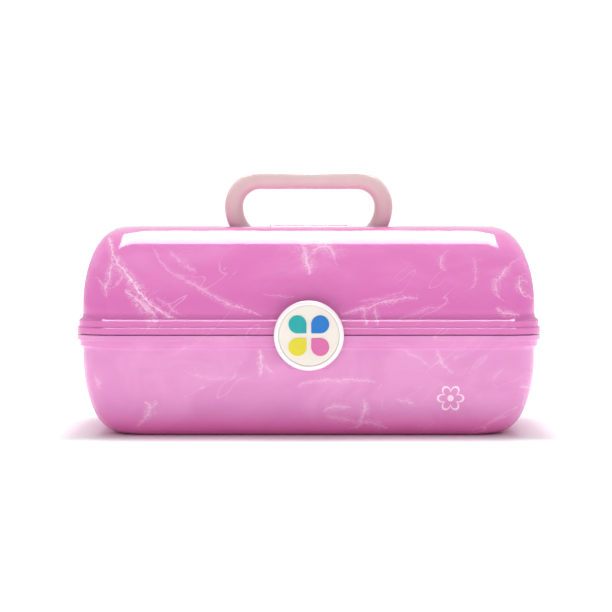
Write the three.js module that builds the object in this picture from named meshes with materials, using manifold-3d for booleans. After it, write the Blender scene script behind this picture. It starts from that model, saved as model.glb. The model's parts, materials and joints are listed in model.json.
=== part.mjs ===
// A makeup train case: a moulded tub, a domed lid on two rear hinges, a folding loop handle, a round
// swing-down latch, and inside a cantilever tray that rises with the lid, and a tilting mirror.
// Millimetres, +Z up. X runs left to right and the front faces -Y. The origin is on the floor, under
// the middle of the tub.
import * as THREE from "three";
import { mergeVertices } from "three/addons/utils/BufferGeometryUtils.js";
import Module from "manifold-3d";

const wasm = await Module();
wasm.setup();

// ---------------------------------------------------------------- driving dimensions
const WIDTH = 330; // across the rim beads
const DEPTH = 178;
const SEAM_Z = 73; // parting plane of tub and lid
const CROWN_Z = 148.5; // flat top of the lid
const WALL = 2.5;
const SEAM_GAP = 0.6;
const RUNNING = 0.3; // clearance of every turning or sliding fit
const SEATED = 0.1; // gap under a part that lies in its seat

// Rim bands, measured out from the wall and along Z from the seam.
const BEAD_OUT = 4;
const BASE_STEP_OUT = 2.2;
const LID_STEP_OUT = 2.9;
const BASE_BEAD_HEIGHT = 3.9;
const BASE_STEP_HEIGHT = 4.4;
const BASE_FILLET_HEIGHT = 3.4;
const LID_BEAD_HEIGHT = 5;
const LID_STEP_HEIGHT = 5.4;
const LID_FILLET_HEIGHT = 4.6;
const TONGUE_HEIGHT = 2.6; // upstand of the tub inside the lid
const TONGUE_THICK = 1.6;
const TONGUE_CLEAR = 0.5;

// Walls: how far they curve in by the floor and by the crown, and the corner radii seen from above.
const BOTTOM_INSET = 27;
const LID_END_INSET = 27.5;
const LID_FACE_INSET = 50;
const CURVE_POWER = 2.2;
const CORNER_R = 22;
const BOTTOM_CORNER_R = 24;
const CROWN_CORNER_R = 30;
const CURVE_STEPS = 6;
const CORNER_STEPS = 5;

// Hinges at the back.
const HINGE_FROM_END = 66; // middle of a hinge from the outside of the end wall
const KNUCKLE_R = 4.2;
const KNUCKLE_LID_LENGTH = 14;
const KNUCKLE_BASE_LENGTH = 9;
const KNUCKLE_ARM_HEIGHT = 6;
const HINGE_PIN_R = 1.5;
const HINGE_CLEAR = 0.5;

// Handle: a loop whose ends turn in to a moulded bridge, in a pocket that it folds back into.
const HANDLE_HALF_WIDTH = 62; // to the outside of the loop
const HANDLE_RISE = 41; // top of the loop above the crown
const HANDLE_AXIS_DROP = 11; // pivot below the crown
const HANDLE_BEND_R = 19.8; // of the upper bends, along the middle of the grip
const GRIP_THICK_R = 6.7; // half thickness in the loop's own plane
const GRIP_DEPTH_R = 7.4; // half thickness across that plane
const HANDLE_END_R = 6.2;
const TRUNNION_R = 2.9;
const TRUNNION_LENGTH = 7.5;
const BRIDGE_TO_BEND = 1; // from the bridge's end to where the grip starts to bend
const BRIDGE_HALF_DEPTH = 6.7;
const BRIDGE_ARCH = 4; // height of the bridge's rounded top
const BRIDGE_PROUD = 1;
const POCKET_CLEAR = 1.2; // under the folded handle
const POCKET_EDGE_CLEAR = 2.2; // in front of it and behind it
const POCKET_SIDE_CLEAR = 4;
const POCKET_CORNER_R = 15;

// Latch: a disc on a pin low on the tub, standing over the seam.
const LATCH_R = 24.5;
const LATCH_THICK = 5;
const LATCH_DOME = 0.8;
const LATCH_STANDOFF = 2; // from the rim bead to the disc's back
const LATCH_AXIS_IN = 3; // pin axis behind the disc's back
const LATCH_AXIS_UP = 4; // pin axis above the disc's lowest point
const LATCH_KNUCKLE_R = 2.5;
const LATCH_KNUCKLE_HALF = 9;
const LATCH_LUG_THICK = 3;
const LATCH_PIN_R = 0.9;
const LATCH_NOSE_HALF = 14;
const LATCH_NOSE_HEIGHT = 3;
const LATCH_NOSE_CLEAR = 1; // over the lid's rim band
const LATCH_NOSE_GAP = 0.5; // from its tip to the plane of the rim beads
const LATCH_EDGE = 0.8;
const LATCH_RING = 3.2;
const BADGE_THICK = 1.2;
const PETAL_THICK = 0.5;
const PETAL_MARGIN = 3.8; // from a petal's outer end to the badge's edge
const PETAL_GAP = 3.2; // between neighbouring petals
const PETAL_TIP = 2.6; // petal's point from the badge's centre

// Tray, and the parallelogram that carries it. The lid is one crank and the arms are the other.
const TRAY_SIDE_CLEAR = 12; // to the tub's end wall, where the arms lie
const TRAY_WALL = 2;
const TRAY_FRONT_CLEAR = 5.5; // to the tub's front wall
const TRAY_TOP_UP = 13; // rim above the seam
const TRAY_HEIGHT = 34;
const TRAY_CORNER_R = 6;
const BIN_CORNER_R = 3;
const FRONT_BINS = 3;
const REAR_BINS = 4;
const FRONT_BIN_DEPTH = 38;
const DIVIDER_THICK = 1.8; // of the plates that part one bin from the next
const DIVIDER_GROOVE = 0.8; // depth of the grooves that hold a divider's ends
const DIVIDER_DROP = 3; // a divider's top below the tray's rim
const CRANK_Y = -52; // lid pivot from the hinge axis, along Y and Z
const CRANK_UP = 9;
const CRANK_TO_TRAY_BACK = 9;
const ARM_PIVOT_IN = 26; // arm's tray pivot behind the tray's front
const ARM_PIVOT_DROP = 24; // and below its rim
const ARM_THICK = 3;
const ARM_HALF_WIDTH = 5.5;
const ARM_TO_TRAY = 2.5;
const PIVOT_R = 2.5;
const RIVET_HEAD_R = 4.5;
const RIVET_HEAD_THICK = 1.3;
const BOSS_R = 5.5;
const TRAY_BOSS_LENGTH = 2.1;
const EAR_R = 6.5;
const BOSS_GAP = 0.6; // from a boss's face to the arm or tray beside it
const BORE_DEPTH = 4.5; // of the blind bore in a boss
const BORE_END = 0.5; // left open past the tip of its pivot

// Mirror, hung from two lugs under the lid's roof.
const MIRROR_SIDE_CLEAR = 40; // to the lid's end wall
const MIRROR_BACK_CLEAR = 40; // to the outside of the back wall
const MIRROR_FRONT_CLEAR = 42;
const MIRROR_ROOF_CLEAR = 2.7; // under the handle's pocket
const MIRROR_THICK = 5;
const MIRROR_AXIS_FROM_BACK = 3;
const MIRROR_BORDER = 7;
const MIRROR_BACK = 1.8;
const MIRROR_LIP = 0.8;
const MIRROR_CORNER_R = 8;
const GLASS_CORNER_R = 4;
const GLASS_THICK = 2;
const MIRROR_STUD_R = 2.2;
const MIRROR_STUD_LENGTH = 5.3;
const MIRROR_LUG_R = 4.2;
const MIRROR_LUG_SPREAD = 3; // how much wider each side of a lug is at the roof
const MIRROR_LUG_THICK = 5;
const MIRROR_LUG_GAP = 0.6;

const OVERRUN = 1; // how far a cutter passes a face, or joined solids run into each other
const PIN_SIDES = 16;
const BORE_SIDES = 20;
const KNUCKLE_SIDES = 20;

// ---------------------------------------------------------------- what follows from them
const WALL_HALF_X = WIDTH / 2 - BEAD_OUT;
const WALL_HALF_Y = DEPTH / 2 - BEAD_OUT;
const BASE_TOP_Z = SEAM_Z - SEAM_GAP / 2;
const LID_BOTTOM_Z = SEAM_Z + SEAM_GAP / 2;
const BASE_SHOULDER_Z = BASE_TOP_Z - BASE_BEAD_HEIGHT - BASE_STEP_HEIGHT - BASE_FILLET_HEIGHT;
const LID_SHOULDER_Z = LID_BOTTOM_Z + LID_BEAD_HEIGHT + LID_STEP_HEIGHT + LID_FILLET_HEIGHT;
const HINGE_X = WALL_HALF_X - HINGE_FROM_END;
const HINGE_Y = DEPTH / 2 + HINGE_CLEAR + KNUCKLE_R;
const HANDLE_AXIS_Z = CROWN_Z - HANDLE_AXIS_DROP;
const HANDLE_LOOP_HALF = HANDLE_HALF_WIDTH - GRIP_THICK_R;
const HANDLE_LOOP_HEIGHT = CROWN_Z + HANDLE_RISE - GRIP_THICK_R - HANDLE_AXIS_Z;
const HANDLE_BEND_X = HANDLE_LOOP_HALF - HANDLE_BEND_R;
const HANDLE_FOOT_R = HANDLE_LOOP_HEIGHT - HANDLE_BEND_R; // lower bends, up to the upper ones
const HANDLE_FOOT_X = HANDLE_LOOP_HALF - HANDLE_FOOT_R;
const BRIDGE_HALF_LENGTH = HANDLE_FOOT_X - BRIDGE_TO_BEND;
const POCKET_FLOOR_Z = HANDLE_AXIS_Z - GRIP_DEPTH_R - POCKET_CLEAR;
const LATCH_BACK_Y = -(DEPTH / 2 + LATCH_STANDOFF);
const LATCH_AXIS_Y = LATCH_BACK_Y + LATCH_AXIS_IN;
const LATCH_AXIS_Z = SEAM_Z - LATCH_R + LATCH_AXIS_UP;
const TRAY_HALF_WIDTH = WALL_HALF_X - WALL - TRAY_SIDE_CLEAR;
const TRAY_FRONT_Y = -(WALL_HALF_Y - WALL) + TRAY_FRONT_CLEAR;
const TRAY_TOP_Z = SEAM_Z + TRAY_TOP_UP;
const LID_PIVOT = { y: HINGE_Y + CRANK_Y, z: SEAM_Z + CRANK_UP };
const TRAY_BACK_Y = LID_PIVOT.y + CRANK_TO_TRAY_BACK;
const TRAY_PIVOT = { y: TRAY_FRONT_Y + ARM_PIVOT_IN, z: TRAY_TOP_Z - ARM_PIVOT_DROP };
const BASE_PIVOT = { y: TRAY_PIVOT.y - CRANK_Y, z: TRAY_PIVOT.z - CRANK_UP };
const ARM_X = TRAY_HALF_WIDTH + ARM_TO_TRAY;
const MIRROR_HALF_WIDTH = WALL_HALF_X - WALL - MIRROR_SIDE_CLEAR;
const MIRROR_BACK_Y = WALL_HALF_Y - MIRROR_BACK_CLEAR;
const MIRROR_FRONT_Y = -(WALL_HALF_Y - MIRROR_FRONT_CLEAR);
const MIRROR_TOP_Z = POCKET_FLOOR_Z - WALL - MIRROR_ROOF_CLEAR;
const MIRROR_AXIS_Y = MIRROR_BACK_Y - MIRROR_AXIS_FROM_BACK;
const MIRROR_AXIS_Z = MIRROR_TOP_Z - MIRROR_THICK / 2;

// ---------------------------------------------------------------- colours
const finish = (color, roughness, metalness = 0) =>
  new THREE.MeshStandardMaterial({ color, roughness, metalness });
const LID_PINK = finish(0xe283c3, 0.18);
const BASE_PINK = finish(0xe79bca, 0.2);
const IVORY = finish(0xf1e6e0, 0.3);
const WHITE = finish(0xf4eef0, 0.2);
const BADGE_WHITE = finish(0xebe6dc, 0.4);
const PETAL_COLOURS = {
  teal: finish(0x06a6a4, 0.35),
  blue: finish(0x0878c8, 0.35),
  pink: finish(0xd76ba8, 0.35),
  yellow: finish(0xded22a, 0.35),
};
const TRAY_PINK = finish(0xf0b6d8, 0.3);
const STEEL = finish(0xb9b9be, 0.3, 1);
const MIRROR_GLASS = finish(0xdfe4e8, 0.05, 1);

// ---------------------------------------------------------------- solids
function solidOf(geometry) {
  const bare = geometry.clone();
  bare.deleteAttribute("normal");
  bare.deleteAttribute("uv");
  const merged = mergeVertices(bare, 1e-4);
  return new wasm.Manifold(
    new wasm.Mesh({
      numProp: 3,
      vertProperties: new Float32Array(merged.attributes.position.array),
      triVerts: new Uint32Array(merged.index.array),
    }),
  );
}

function geometryOf(solid) {
  const mesh = solid.getMesh();
  const geometry = new THREE.BufferGeometry();
  geometry.setAttribute("position", new THREE.BufferAttribute(mesh.vertProperties, 3));
  geometry.setIndex(new THREE.BufferAttribute(mesh.triVerts, 1));
  return geometry;
}

const joined = (...solids) => solids.reduce((whole, piece) => whole.add(piece));
const cutBy = (solid, ...tools) => tools.reduce((left, tool) => left.subtract(tool), solid);

// A closed body through rings of equal point counts, from first to last, with a flat cap on each end.
function loft(rings) {
  const count = rings[0].length;
  const points = rings.flat();
  const faces = [];
  for (let level = 0; level + 1 < rings.length; level += 1) {
    for (let i = 0; i < count; i += 1) {
      const next = (i + 1) % count;
      const [a, b] = [level * count + i, level * count + next];
      faces.push(a, b, b + count, a, b + count, a + count);
    }
  }
  for (const [level, first, second] of [[0, 1, 0], [rings.length - 1, 0, 1]]) {
    const hub = new THREE.Vector3();
    rings[level].forEach((point) => hub.addScaledVector(point, 1 / count));
    points.push(hub);
    for (let i = 0; i < count; i += 1) {
      const edge = [level * count + i, level * count + ((i + 1) % count)];
      faces.push(edge[first], edge[second], points.length - 1);
    }
  }
  const geometry = new THREE.BufferGeometry().setFromPoints(points);
  geometry.setIndex(faces);
  return geometry;
}

// A rounded rectangle at height z, anticlockwise from above.
function ring({ a, b, r, z }) {
  const points = [];
  for (let corner = 0; corner < 4; corner += 1) {
    const [cx, cy] = [[1, 1], [-1, 1], [-1, -1], [1, -1]][corner];
    for (let i = 0; i <= CORNER_STEPS; i += 1) {
      const turn = (corner + i / CORNER_STEPS) * (Math.PI / 2);
      const x = cx * (a - r) + r * Math.cos(turn);
      const y = cy * (b - r) + r * Math.sin(turn);
      points.push(new THREE.Vector3(x, y, z));
    }
  }
  return points;
}

// Shares of the inset and of the rise along a wall's curve, upright at the first and flat at the last.
const CURVE = Array.from({ length: CURVE_STEPS + 1 }, (_, i) => {
  const turn = (i / CURVE_STEPS) * (Math.PI / 2);
  return {
    inset: 1 - Math.pow(Math.max(Math.cos(turn), 0), 2 / CURVE_POWER),
    rise: Math.pow(Math.sin(turn), 2 / CURVE_POWER),
  };
});

const atWall = (offset, z) => ({
  a: WALL_HALF_X + offset,
  b: WALL_HALF_Y + offset,
  r: CORNER_R + offset,
  z,
});

function baseCurve(offset, floorZ) {
  return CURVE.map(({ inset, rise }) => ({
    a: WALL_HALF_X + offset - BOTTOM_INSET * inset,
    b: WALL_HALF_Y + offset - BOTTOM_INSET * inset,
    r: CORNER_R + offset + (BOTTOM_CORNER_R - CORNER_R) * inset,
    z: BASE_SHOULDER_Z - (BASE_SHOULDER_Z - floorZ) * rise,
  }));
}

function lidCurve(offset, roofZ) {
  return CURVE.map(({ inset, rise }) => ({
    a: WALL_HALF_X + offset - LID_END_INSET * inset,
    b: WALL_HALF_Y + offset - LID_FACE_INSET * inset,
    r: CORNER_R + offset + (CROWN_CORNER_R - CORNER_R) * inset,
    z: LID_SHOULDER_Z + (roofZ - LID_SHOULDER_Z) * rise,
  }));
}

const shell = (levels) => solidOf(loft(levels.map(ring)));

// Maps for outlines drawn flat: their X and Y become the named axes, and the third is the way extruded.
const IN_YZ = new THREE.Matrix4().makeBasis(
  new THREE.Vector3(0, 1, 0),
  new THREE.Vector3(0, 0, 1),
  new THREE.Vector3(1, 0, 0),
);
const IN_XZ = new THREE.Matrix4().makeBasis(
  new THREE.Vector3(1, 0, 0),
  new THREE.Vector3(0, 0, 1),
  new THREE.Vector3(0, -1, 0),
);

const extrude = (shape, depth, curveSegments = 4) =>
  new THREE.ExtrudeGeometry(shape, { depth, bevelEnabled: false, curveSegments });

// A plate with a YZ outline between two X stations.
function plateX(shape, x0, x1, curveSegments) {
  return extrude(shape, Math.abs(x1 - x0), curveSegments)
    .applyMatrix4(IN_YZ)
    .translate(Math.min(x0, x1), 0, 0);
}

function cylinderX(r, x0, x1, y, z, sides = PIN_SIDES) {
  return new THREE.CylinderGeometry(r, r, Math.abs(x1 - x0), sides)
    .rotateZ(Math.PI / 2)
    .translate((x0 + x1) / 2, y, z);
}

function boxBetween(x0, x1, y0, y1, z0, z1) {
  return new THREE.BoxGeometry(Math.abs(x1 - x0), y1 - y0, z1 - z0).translate(
    (x0 + x1) / 2,
    (y0 + y1) / 2,
    (z0 + z1) / 2,
  );
}

function roundedBox(x0, x1, y0, y1, z0, z1, r) {
  const outline = new THREE.Shape();
  outline.moveTo(x0 + r, y0);
  outline.lineTo(x1 - r, y0);
  outline.absarc(x1 - r, y0 + r, r, -Math.PI / 2, 0);
  outline.absarc(x1 - r, y1 - r, r, 0, Math.PI / 2);
  outline.absarc(x0 + r, y1 - r, r, Math.PI / 2, Math.PI);
  outline.absarc(x0 + r, y0 + r, r, Math.PI, Math.PI * 1.5);
  return extrude(outline, z1 - z0).translate(0, 0, z0);
}

// A bar with round ends from one pivot to another, holes at both, in YZ.
function linkOutline(from, to, halfWidth, holeR) {
  const turn = Math.atan2(to.z - from.z, to.y - from.y);
  const outline = new THREE.Shape();
  outline.absarc(from.y, from.z, halfWidth, turn + Math.PI / 2, turn + Math.PI * 1.5);
  outline.absarc(to.y, to.z, halfWidth, turn - Math.PI / 2, turn + Math.PI / 2);
  for (const end of [from, to]) {
    outline.holes.push(new THREE.Path().absarc(end.y, end.z, holeR, 0, Math.PI * 2, true));
  }
  return outline;
}

// ---------------------------------------------------------------- assembly
const trainCase = new THREE.Group();

// Adds a group whose origin is a joint's axis; what goes in it is placed from that axis.
function pivotGroup(y, z) {
  const group = new THREE.Group();
  group.position.set(0, y, z);
  trainCase.add(group);
  return group;
}

function addPart(group, name, shape, material) {
  const geometry = shape.isBufferGeometry ? shape : geometryOf(shape);
  geometry.translate(-group.position.x, -group.position.y, -group.position.z);
  const mesh = new THREE.Mesh(geometry, material);
  mesh.name = name;
  group.add(mesh);
  return mesh;
}

const base = pivotGroup(0, 0);
const lid = pivotGroup(HINGE_Y, SEAM_Z);
const handle = pivotGroup(0, HANDLE_AXIS_Z);
const latch = pivotGroup(LATCH_AXIS_Y, LATCH_AXIS_Z);
const arms = pivotGroup(BASE_PIVOT.y, BASE_PIVOT.z);
const tray = pivotGroup(TRAY_PIVOT.y, TRAY_PIVOT.z);
const mirror = pivotGroup(MIRROR_AXIS_Y, MIRROR_AXIS_Z);

const SIDES = { left: -1, right: 1 };

// ---------------------------------------------------------------- hinge knuckles
const knuckleStations = [-HINGE_X, HINGE_X];

// The ranges along X of one body's knuckles at a hinge station.
function knuckleRanges(station, body) {
  const half = KNUCKLE_LID_LENGTH / 2;
  if (body === "lid") return [[station - half, station + half]];
  const inner = half + HINGE_CLEAR;
  return [-1, 1].map((way) => {
    const ends = [station + way * inner, station + way * (inner + KNUCKLE_BASE_LENGTH)];
    return ends.sort((p, q) => p - q);
  });
}

function knuckles(body) {
  const [lowZ, highZ] =
    body === "lid"
      ? [LID_BOTTOM_Z, LID_BOTTOM_Z + KNUCKLE_ARM_HEIGHT]
      : [BASE_TOP_Z - KNUCKLE_ARM_HEIGHT, BASE_TOP_Z];
  const wallY = DEPTH / 2 - BEAD_OUT / 2;
  const solids = [];
  for (const station of knuckleStations) {
    for (const [x0, x1] of knuckleRanges(station, body)) {
      const barrel = solidOf(cylinderX(KNUCKLE_R, x0, x1, HINGE_Y, SEAM_Z, KNUCKLE_SIDES));
      const arm = solidOf(boxBetween(x0, x1, wallY, HINGE_Y, lowZ, highZ));
      const boreR = HINGE_PIN_R + RUNNING;
      const ends = [x0 - OVERRUN, x1 + OVERRUN];
      const bore = solidOf(cylinderX(boreR, ...ends, HINGE_Y, SEAM_Z, BORE_SIDES));
      solids.push(cutBy(joined(barrel, arm), bore));
    }
  }
  return solids;
}

// ---------------------------------------------------------------- tub
const BASE_BOSS_X = ARM_X + ARM_THICK + BOSS_GAP;
const LID_BOSS_X = TRAY_HALF_WIDTH + BOSS_GAP;

// A running bore for a pin of radius r, and one that starts at a face and goes in by a signed depth.
const boreFor = (pivot, x0, x1, r) =>
  solidOf(cylinderX(r + RUNNING, x0, x1, pivot.y, pivot.z, BORE_SIDES));
const boreInto = (pivot, faceX, depth, r) =>
  boreFor(pivot, faceX - Math.sign(depth) * OVERRUN, faceX + depth, r);

function baseShell() {
  const tongueOut = -WALL - TONGUE_CLEAR;
  const tongueIn = tongueOut - TONGUE_THICK;
  const stepTop = BASE_TOP_Z - BASE_BEAD_HEIGHT;
  const stepBottom = stepTop - BASE_STEP_HEIGHT;
  const outside = shell([
    ...baseCurve(0, 0).reverse(),
    atWall(BASE_STEP_OUT, stepBottom),
    atWall(BASE_STEP_OUT, stepTop),
    atWall(BEAD_OUT, stepTop + SEATED),
    atWall(BEAD_OUT, BASE_TOP_Z),
    atWall(tongueOut, BASE_TOP_Z),
    atWall(tongueOut, SEAM_Z + TONGUE_HEIGHT),
  ]);
  const inside = shell([
    ...baseCurve(-WALL, WALL).reverse(),
    atWall(tongueIn, stepBottom),
    atWall(tongueIn, SEAM_Z + TONGUE_HEIGHT + OVERRUN),
  ]);
  const full = shell([...baseCurve(0, 0).reverse(), atWall(0, BASE_TOP_Z)]);
  let tub = joined(cutBy(outside, inside), ...knuckles("base"));

  for (const side of Object.values(SIDES)) {
    const bossStart = side * BASE_BOSS_X;
    const wallEnd = side * WALL_HALF_X;
    const boss = solidOf(cylinderX(BOSS_R, bossStart, wallEnd, BASE_PIVOT.y, BASE_PIVOT.z));
    const bore = boreInto(BASE_PIVOT, bossStart, side * BORE_DEPTH, PIVOT_R);
    tub = cutBy(joined(tub, boss.intersect(full)), bore);

    const lugStart = side * (LATCH_KNUCKLE_HALF + HINGE_CLEAR);
    const lugEnd = lugStart + side * LATCH_LUG_THICK;
    const lugBar = solidOf(
      boxBetween(
        lugStart,
        lugEnd,
        LATCH_AXIS_Y,
        -(WALL_HALF_Y - WALL),
        LATCH_AXIS_Z - LATCH_KNUCKLE_R,
        LATCH_AXIS_Z + LATCH_KNUCKLE_R,
      ),
    );
    const lugNose = solidOf(
      cylinderX(LATCH_KNUCKLE_R, lugStart, lugEnd, LATCH_AXIS_Y, LATCH_AXIS_Z),
    );
    const lug = cutBy(joined(lugBar, lugNose), inside);
    const lugBore = cylinderX(
      LATCH_PIN_R + RUNNING,
      lugStart - side * OVERRUN,
      lugEnd + side * OVERRUN,
      LATCH_AXIS_Y,
      LATCH_AXIS_Z,
      BORE_SIDES,
    );
    tub = cutBy(joined(tub, lug), solidOf(lugBore));
  }
  return tub;
}

addPart(base, "base_shell", baseShell(), BASE_PINK);

// ---------------------------------------------------------------- lid
const pocketHalfX = HANDLE_HALF_WIDTH + POCKET_SIDE_CLEAR;
const pocketFrontY = -(GRIP_DEPTH_R + POCKET_EDGE_CLEAR);
const pocketBackY = HANDLE_LOOP_HEIGHT + GRIP_THICK_R + POCKET_EDGE_CLEAR;

function pocket(grow) {
  return solidOf(
    roundedBox(
      -pocketHalfX - grow,
      pocketHalfX + grow,
      pocketFrontY - grow,
      pocketBackY + grow,
      POCKET_FLOOR_Z - grow,
      CROWN_Z + OVERRUN,
      POCKET_CORNER_R + grow,
    ),
  );
}

// The block between the handle's ends, with a blind bore in each end for a trunnion.
function handleBridge() {
  const shoulderZ = CROWN_Z + BRIDGE_PROUD - BRIDGE_ARCH;
  const outline = new THREE.Shape();
  outline.moveTo(-BRIDGE_HALF_DEPTH, POCKET_FLOOR_Z - WALL / 2);
  outline.lineTo(BRIDGE_HALF_DEPTH, POCKET_FLOOR_Z - WALL / 2);
  outline.lineTo(BRIDGE_HALF_DEPTH, shoulderZ);
  outline.absellipse(0, shoulderZ, BRIDGE_HALF_DEPTH, BRIDGE_ARCH, 0, Math.PI, false);
  outline.closePath();
  let block = solidOf(plateX(outline, -BRIDGE_HALF_LENGTH, BRIDGE_HALF_LENGTH, 8));
  for (const side of Object.values(SIDES)) {
    const axis = { y: 0, z: HANDLE_AXIS_Z };
    const depth = -side * (TRUNNION_LENGTH + BORE_END);
    block = cutBy(block, boreInto(axis, side * BRIDGE_HALF_LENGTH, depth, TRUNNION_R));
  }
  return block;
}

function lidShell() {
  const stepBottom = LID_BOTTOM_Z + LID_BEAD_HEIGHT;
  const stepTop = stepBottom + LID_STEP_HEIGHT;
  const outside = shell([
    atWall(BEAD_OUT, LID_BOTTOM_Z),
    atWall(BEAD_OUT, stepBottom),
    atWall(LID_STEP_OUT, stepBottom + SEATED),
    atWall(LID_STEP_OUT, stepTop),
    ...lidCurve(0, CROWN_Z),
  ]);
  const mouth = atWall(-WALL, LID_BOTTOM_Z - OVERRUN);
  const inside = shell([mouth, ...lidCurve(-WALL, CROWN_Z - WALL)]);
  const pocketWalls = pocket(WALL).intersect(outside);
  let cover = cutBy(joined(cutBy(outside, inside), pocketWalls), pocket(0));
  cover = joined(cover, handleBridge(), ...knuckles("lid"));

  for (const side of Object.values(SIDES)) {
    const bossStart = side * LID_BOSS_X;
    const wallEnd = side * WALL_HALF_X;
    const boss = solidOf(cylinderX(BOSS_R, bossStart, wallEnd, LID_PIVOT.y, LID_PIVOT.z));
    const bore = boreInto(LID_PIVOT, bossStart, side * BORE_DEPTH, PIVOT_R);
    cover = cutBy(joined(cover, boss.intersect(outside)), bore);

    const lugStart = side * (MIRROR_HALF_WIDTH + MIRROR_LUG_GAP);
    const lugEnd = lugStart + side * MIRROR_LUG_THICK;
    const roofHalf = MIRROR_LUG_R + MIRROR_LUG_SPREAD;
    const outline = new THREE.Shape();
    outline.absarc(MIRROR_AXIS_Y, MIRROR_AXIS_Z, MIRROR_LUG_R, -Math.PI, 0);
    outline.lineTo(MIRROR_AXIS_Y + roofHalf, CROWN_Z);
    outline.lineTo(MIRROR_AXIS_Y - roofHalf, CROWN_Z);
    outline.closePath();
    const lug = solidOf(plateX(outline, lugStart, lugEnd, 8)).intersect(outside);
    const lugEnds = [lugStart - side * OVERRUN, lugEnd + side * OVERRUN];
    const axis = { y: MIRROR_AXIS_Y, z: MIRROR_AXIS_Z };
    cover = cutBy(joined(cover, lug), boreFor(axis, ...lugEnds, MIRROR_STUD_R));
  }
  return cover;
}

addPart(lid, "lid_shell", lidShell(), LID_PINK);

// ---------------------------------------------------------------- hinge pins
for (const [side, way] of Object.entries(SIDES)) {
  const half = KNUCKLE_LID_LENGTH / 2 + HINGE_CLEAR + KNUCKLE_BASE_LENGTH;
  const [x0, x1] = [way * HINGE_X - half, way * HINGE_X + half];
  addPart(base, `hinge_pin_${side}`, cylinderX(HINGE_PIN_R, x0, x1, HINGE_Y, SEAM_Z), STEEL);
}

// ---------------------------------------------------------------- handle
// Sections along the loop, from one trunnion's tip over the top to the other's. A section is an
// ellipse square to the path: thick in the loop's plane and deep across it.
function handleLoop() {
  const sides = 14;
  const bendSteps = 6;
  const barSteps = 4;
  const endX = BRIDGE_HALF_LENGTH + HINGE_CLEAR;
  const grip = { thick: GRIP_THICK_R, deep: GRIP_DEPTH_R };
  const half = [
    { x: endX - TRUNNION_LENGTH, z: 0, turn: 0, thick: TRUNNION_R, deep: TRUNNION_R },
    { x: endX, z: 0, turn: 0, thick: TRUNNION_R, deep: TRUNNION_R },
    { x: endX, z: 0, turn: 0, thick: HANDLE_END_R, deep: HANDLE_END_R },
  ];
  for (let i = 0; i <= bendSteps; i += 1) {
    const share = i / bendSteps;
    const turn = share * (Math.PI / 2);
    half.push({
      x: HANDLE_FOOT_X + HANDLE_FOOT_R * Math.sin(turn),
      z: HANDLE_FOOT_R - HANDLE_FOOT_R * Math.cos(turn),
      turn,
      thick: HANDLE_END_R + (GRIP_THICK_R - HANDLE_END_R) * share,
      deep: HANDLE_END_R + (GRIP_DEPTH_R - HANDLE_END_R) * share,
    });
  }
  for (let i = 1; i <= bendSteps; i += 1) {
    const turn = (1 + i / bendSteps) * (Math.PI / 2);
    const x = HANDLE_BEND_X + HANDLE_BEND_R * Math.sin(turn);
    const z = HANDLE_LOOP_HEIGHT - HANDLE_BEND_R - HANDLE_BEND_R * Math.cos(turn);
    half.push({ x, z, turn, ...grip });
  }
  for (let i = 1; i < barSteps; i += 1) {
    half.push({ x: HANDLE_BEND_X * (1 - i / barSteps), z: HANDLE_LOOP_HEIGHT, turn: Math.PI, ...grip });
  }
  const middle = { x: 0, z: HANDLE_LOOP_HEIGHT, turn: Math.PI, ...grip };
  const other = half.map((s) => ({ ...s, x: -s.x, turn: Math.PI * 2 - s.turn })).reverse();
  return [...half, middle, ...other].map((section) => {
    const out = new THREE.Vector3(Math.sin(section.turn), 0, -Math.cos(section.turn));
    const across = new THREE.Vector3(0, 1, 0);
    return Array.from({ length: sides }, (_, i) => {
      const angle = (i / sides) * Math.PI * 2;
      return new THREE.Vector3(section.x, 0, section.z + HANDLE_AXIS_Z)
        .addScaledVector(out, section.thick * Math.cos(angle))
        .addScaledVector(across, section.deep * Math.sin(angle));
    });
  });
}

addPart(handle, "handle", solidOf(loft(handleLoop())), IVORY);

// ---------------------------------------------------------------- latch
const latchFaceY = LATCH_BACK_Y - LATCH_THICK;
const badgeR = LATCH_R - LATCH_RING;

function discAbout(points, sides) {
  return new THREE.LatheGeometry(
    points.map(([r, y]) => new THREE.Vector2(r, y)),
    sides,
  ).translate(0, 0, SEAM_Z);
}

function latchDisc() {
  const disc = solidOf(
    discAbout(
      [
        [0, latchFaceY + BADGE_THICK],
        [badgeR + SEATED, latchFaceY + BADGE_THICK],
        [badgeR + SEATED, latchFaceY],
        [badgeR + LATCH_RING / 3, latchFaceY - LATCH_DOME / 2],
        [LATCH_R - LATCH_EDGE, latchFaceY],
        [LATCH_R, latchFaceY + LATCH_EDGE],
        [LATCH_R, LATCH_BACK_Y],
        [0, LATCH_BACK_Y],
      ],
      40,
    ),
  );
  const knuckleArm = solidOf(
    boxBetween(
      -LATCH_KNUCKLE_HALF,
      LATCH_KNUCKLE_HALF,
      LATCH_BACK_Y - OVERRUN,
      LATCH_AXIS_Y,
      LATCH_AXIS_Z - LATCH_KNUCKLE_R,
      LATCH_AXIS_Z + LATCH_KNUCKLE_R,
    ),
  );
  const knuckle = (r, reach) =>
    solidOf(cylinderX(r, -reach, reach, LATCH_AXIS_Y, LATCH_AXIS_Z, PIN_SIDES));
  const noseZ = LID_BOTTOM_Z + LID_BEAD_HEIGHT + LID_STEP_HEIGHT + LATCH_NOSE_CLEAR;
  const nose = solidOf(
    boxBetween(
      -LATCH_NOSE_HALF,
      LATCH_NOSE_HALF,
      LATCH_BACK_Y - OVERRUN,
      -(DEPTH / 2 + LATCH_NOSE_GAP),
      noseZ,
      noseZ + LATCH_NOSE_HEIGHT,
    ),
  );
  const whole = joined(disc, knuckleArm, knuckle(LATCH_KNUCKLE_R, LATCH_KNUCKLE_HALF), nose);
  return cutBy(whole, knuckle(LATCH_PIN_R + RUNNING, LATCH_KNUCKLE_HALF + OVERRUN));
}

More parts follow.
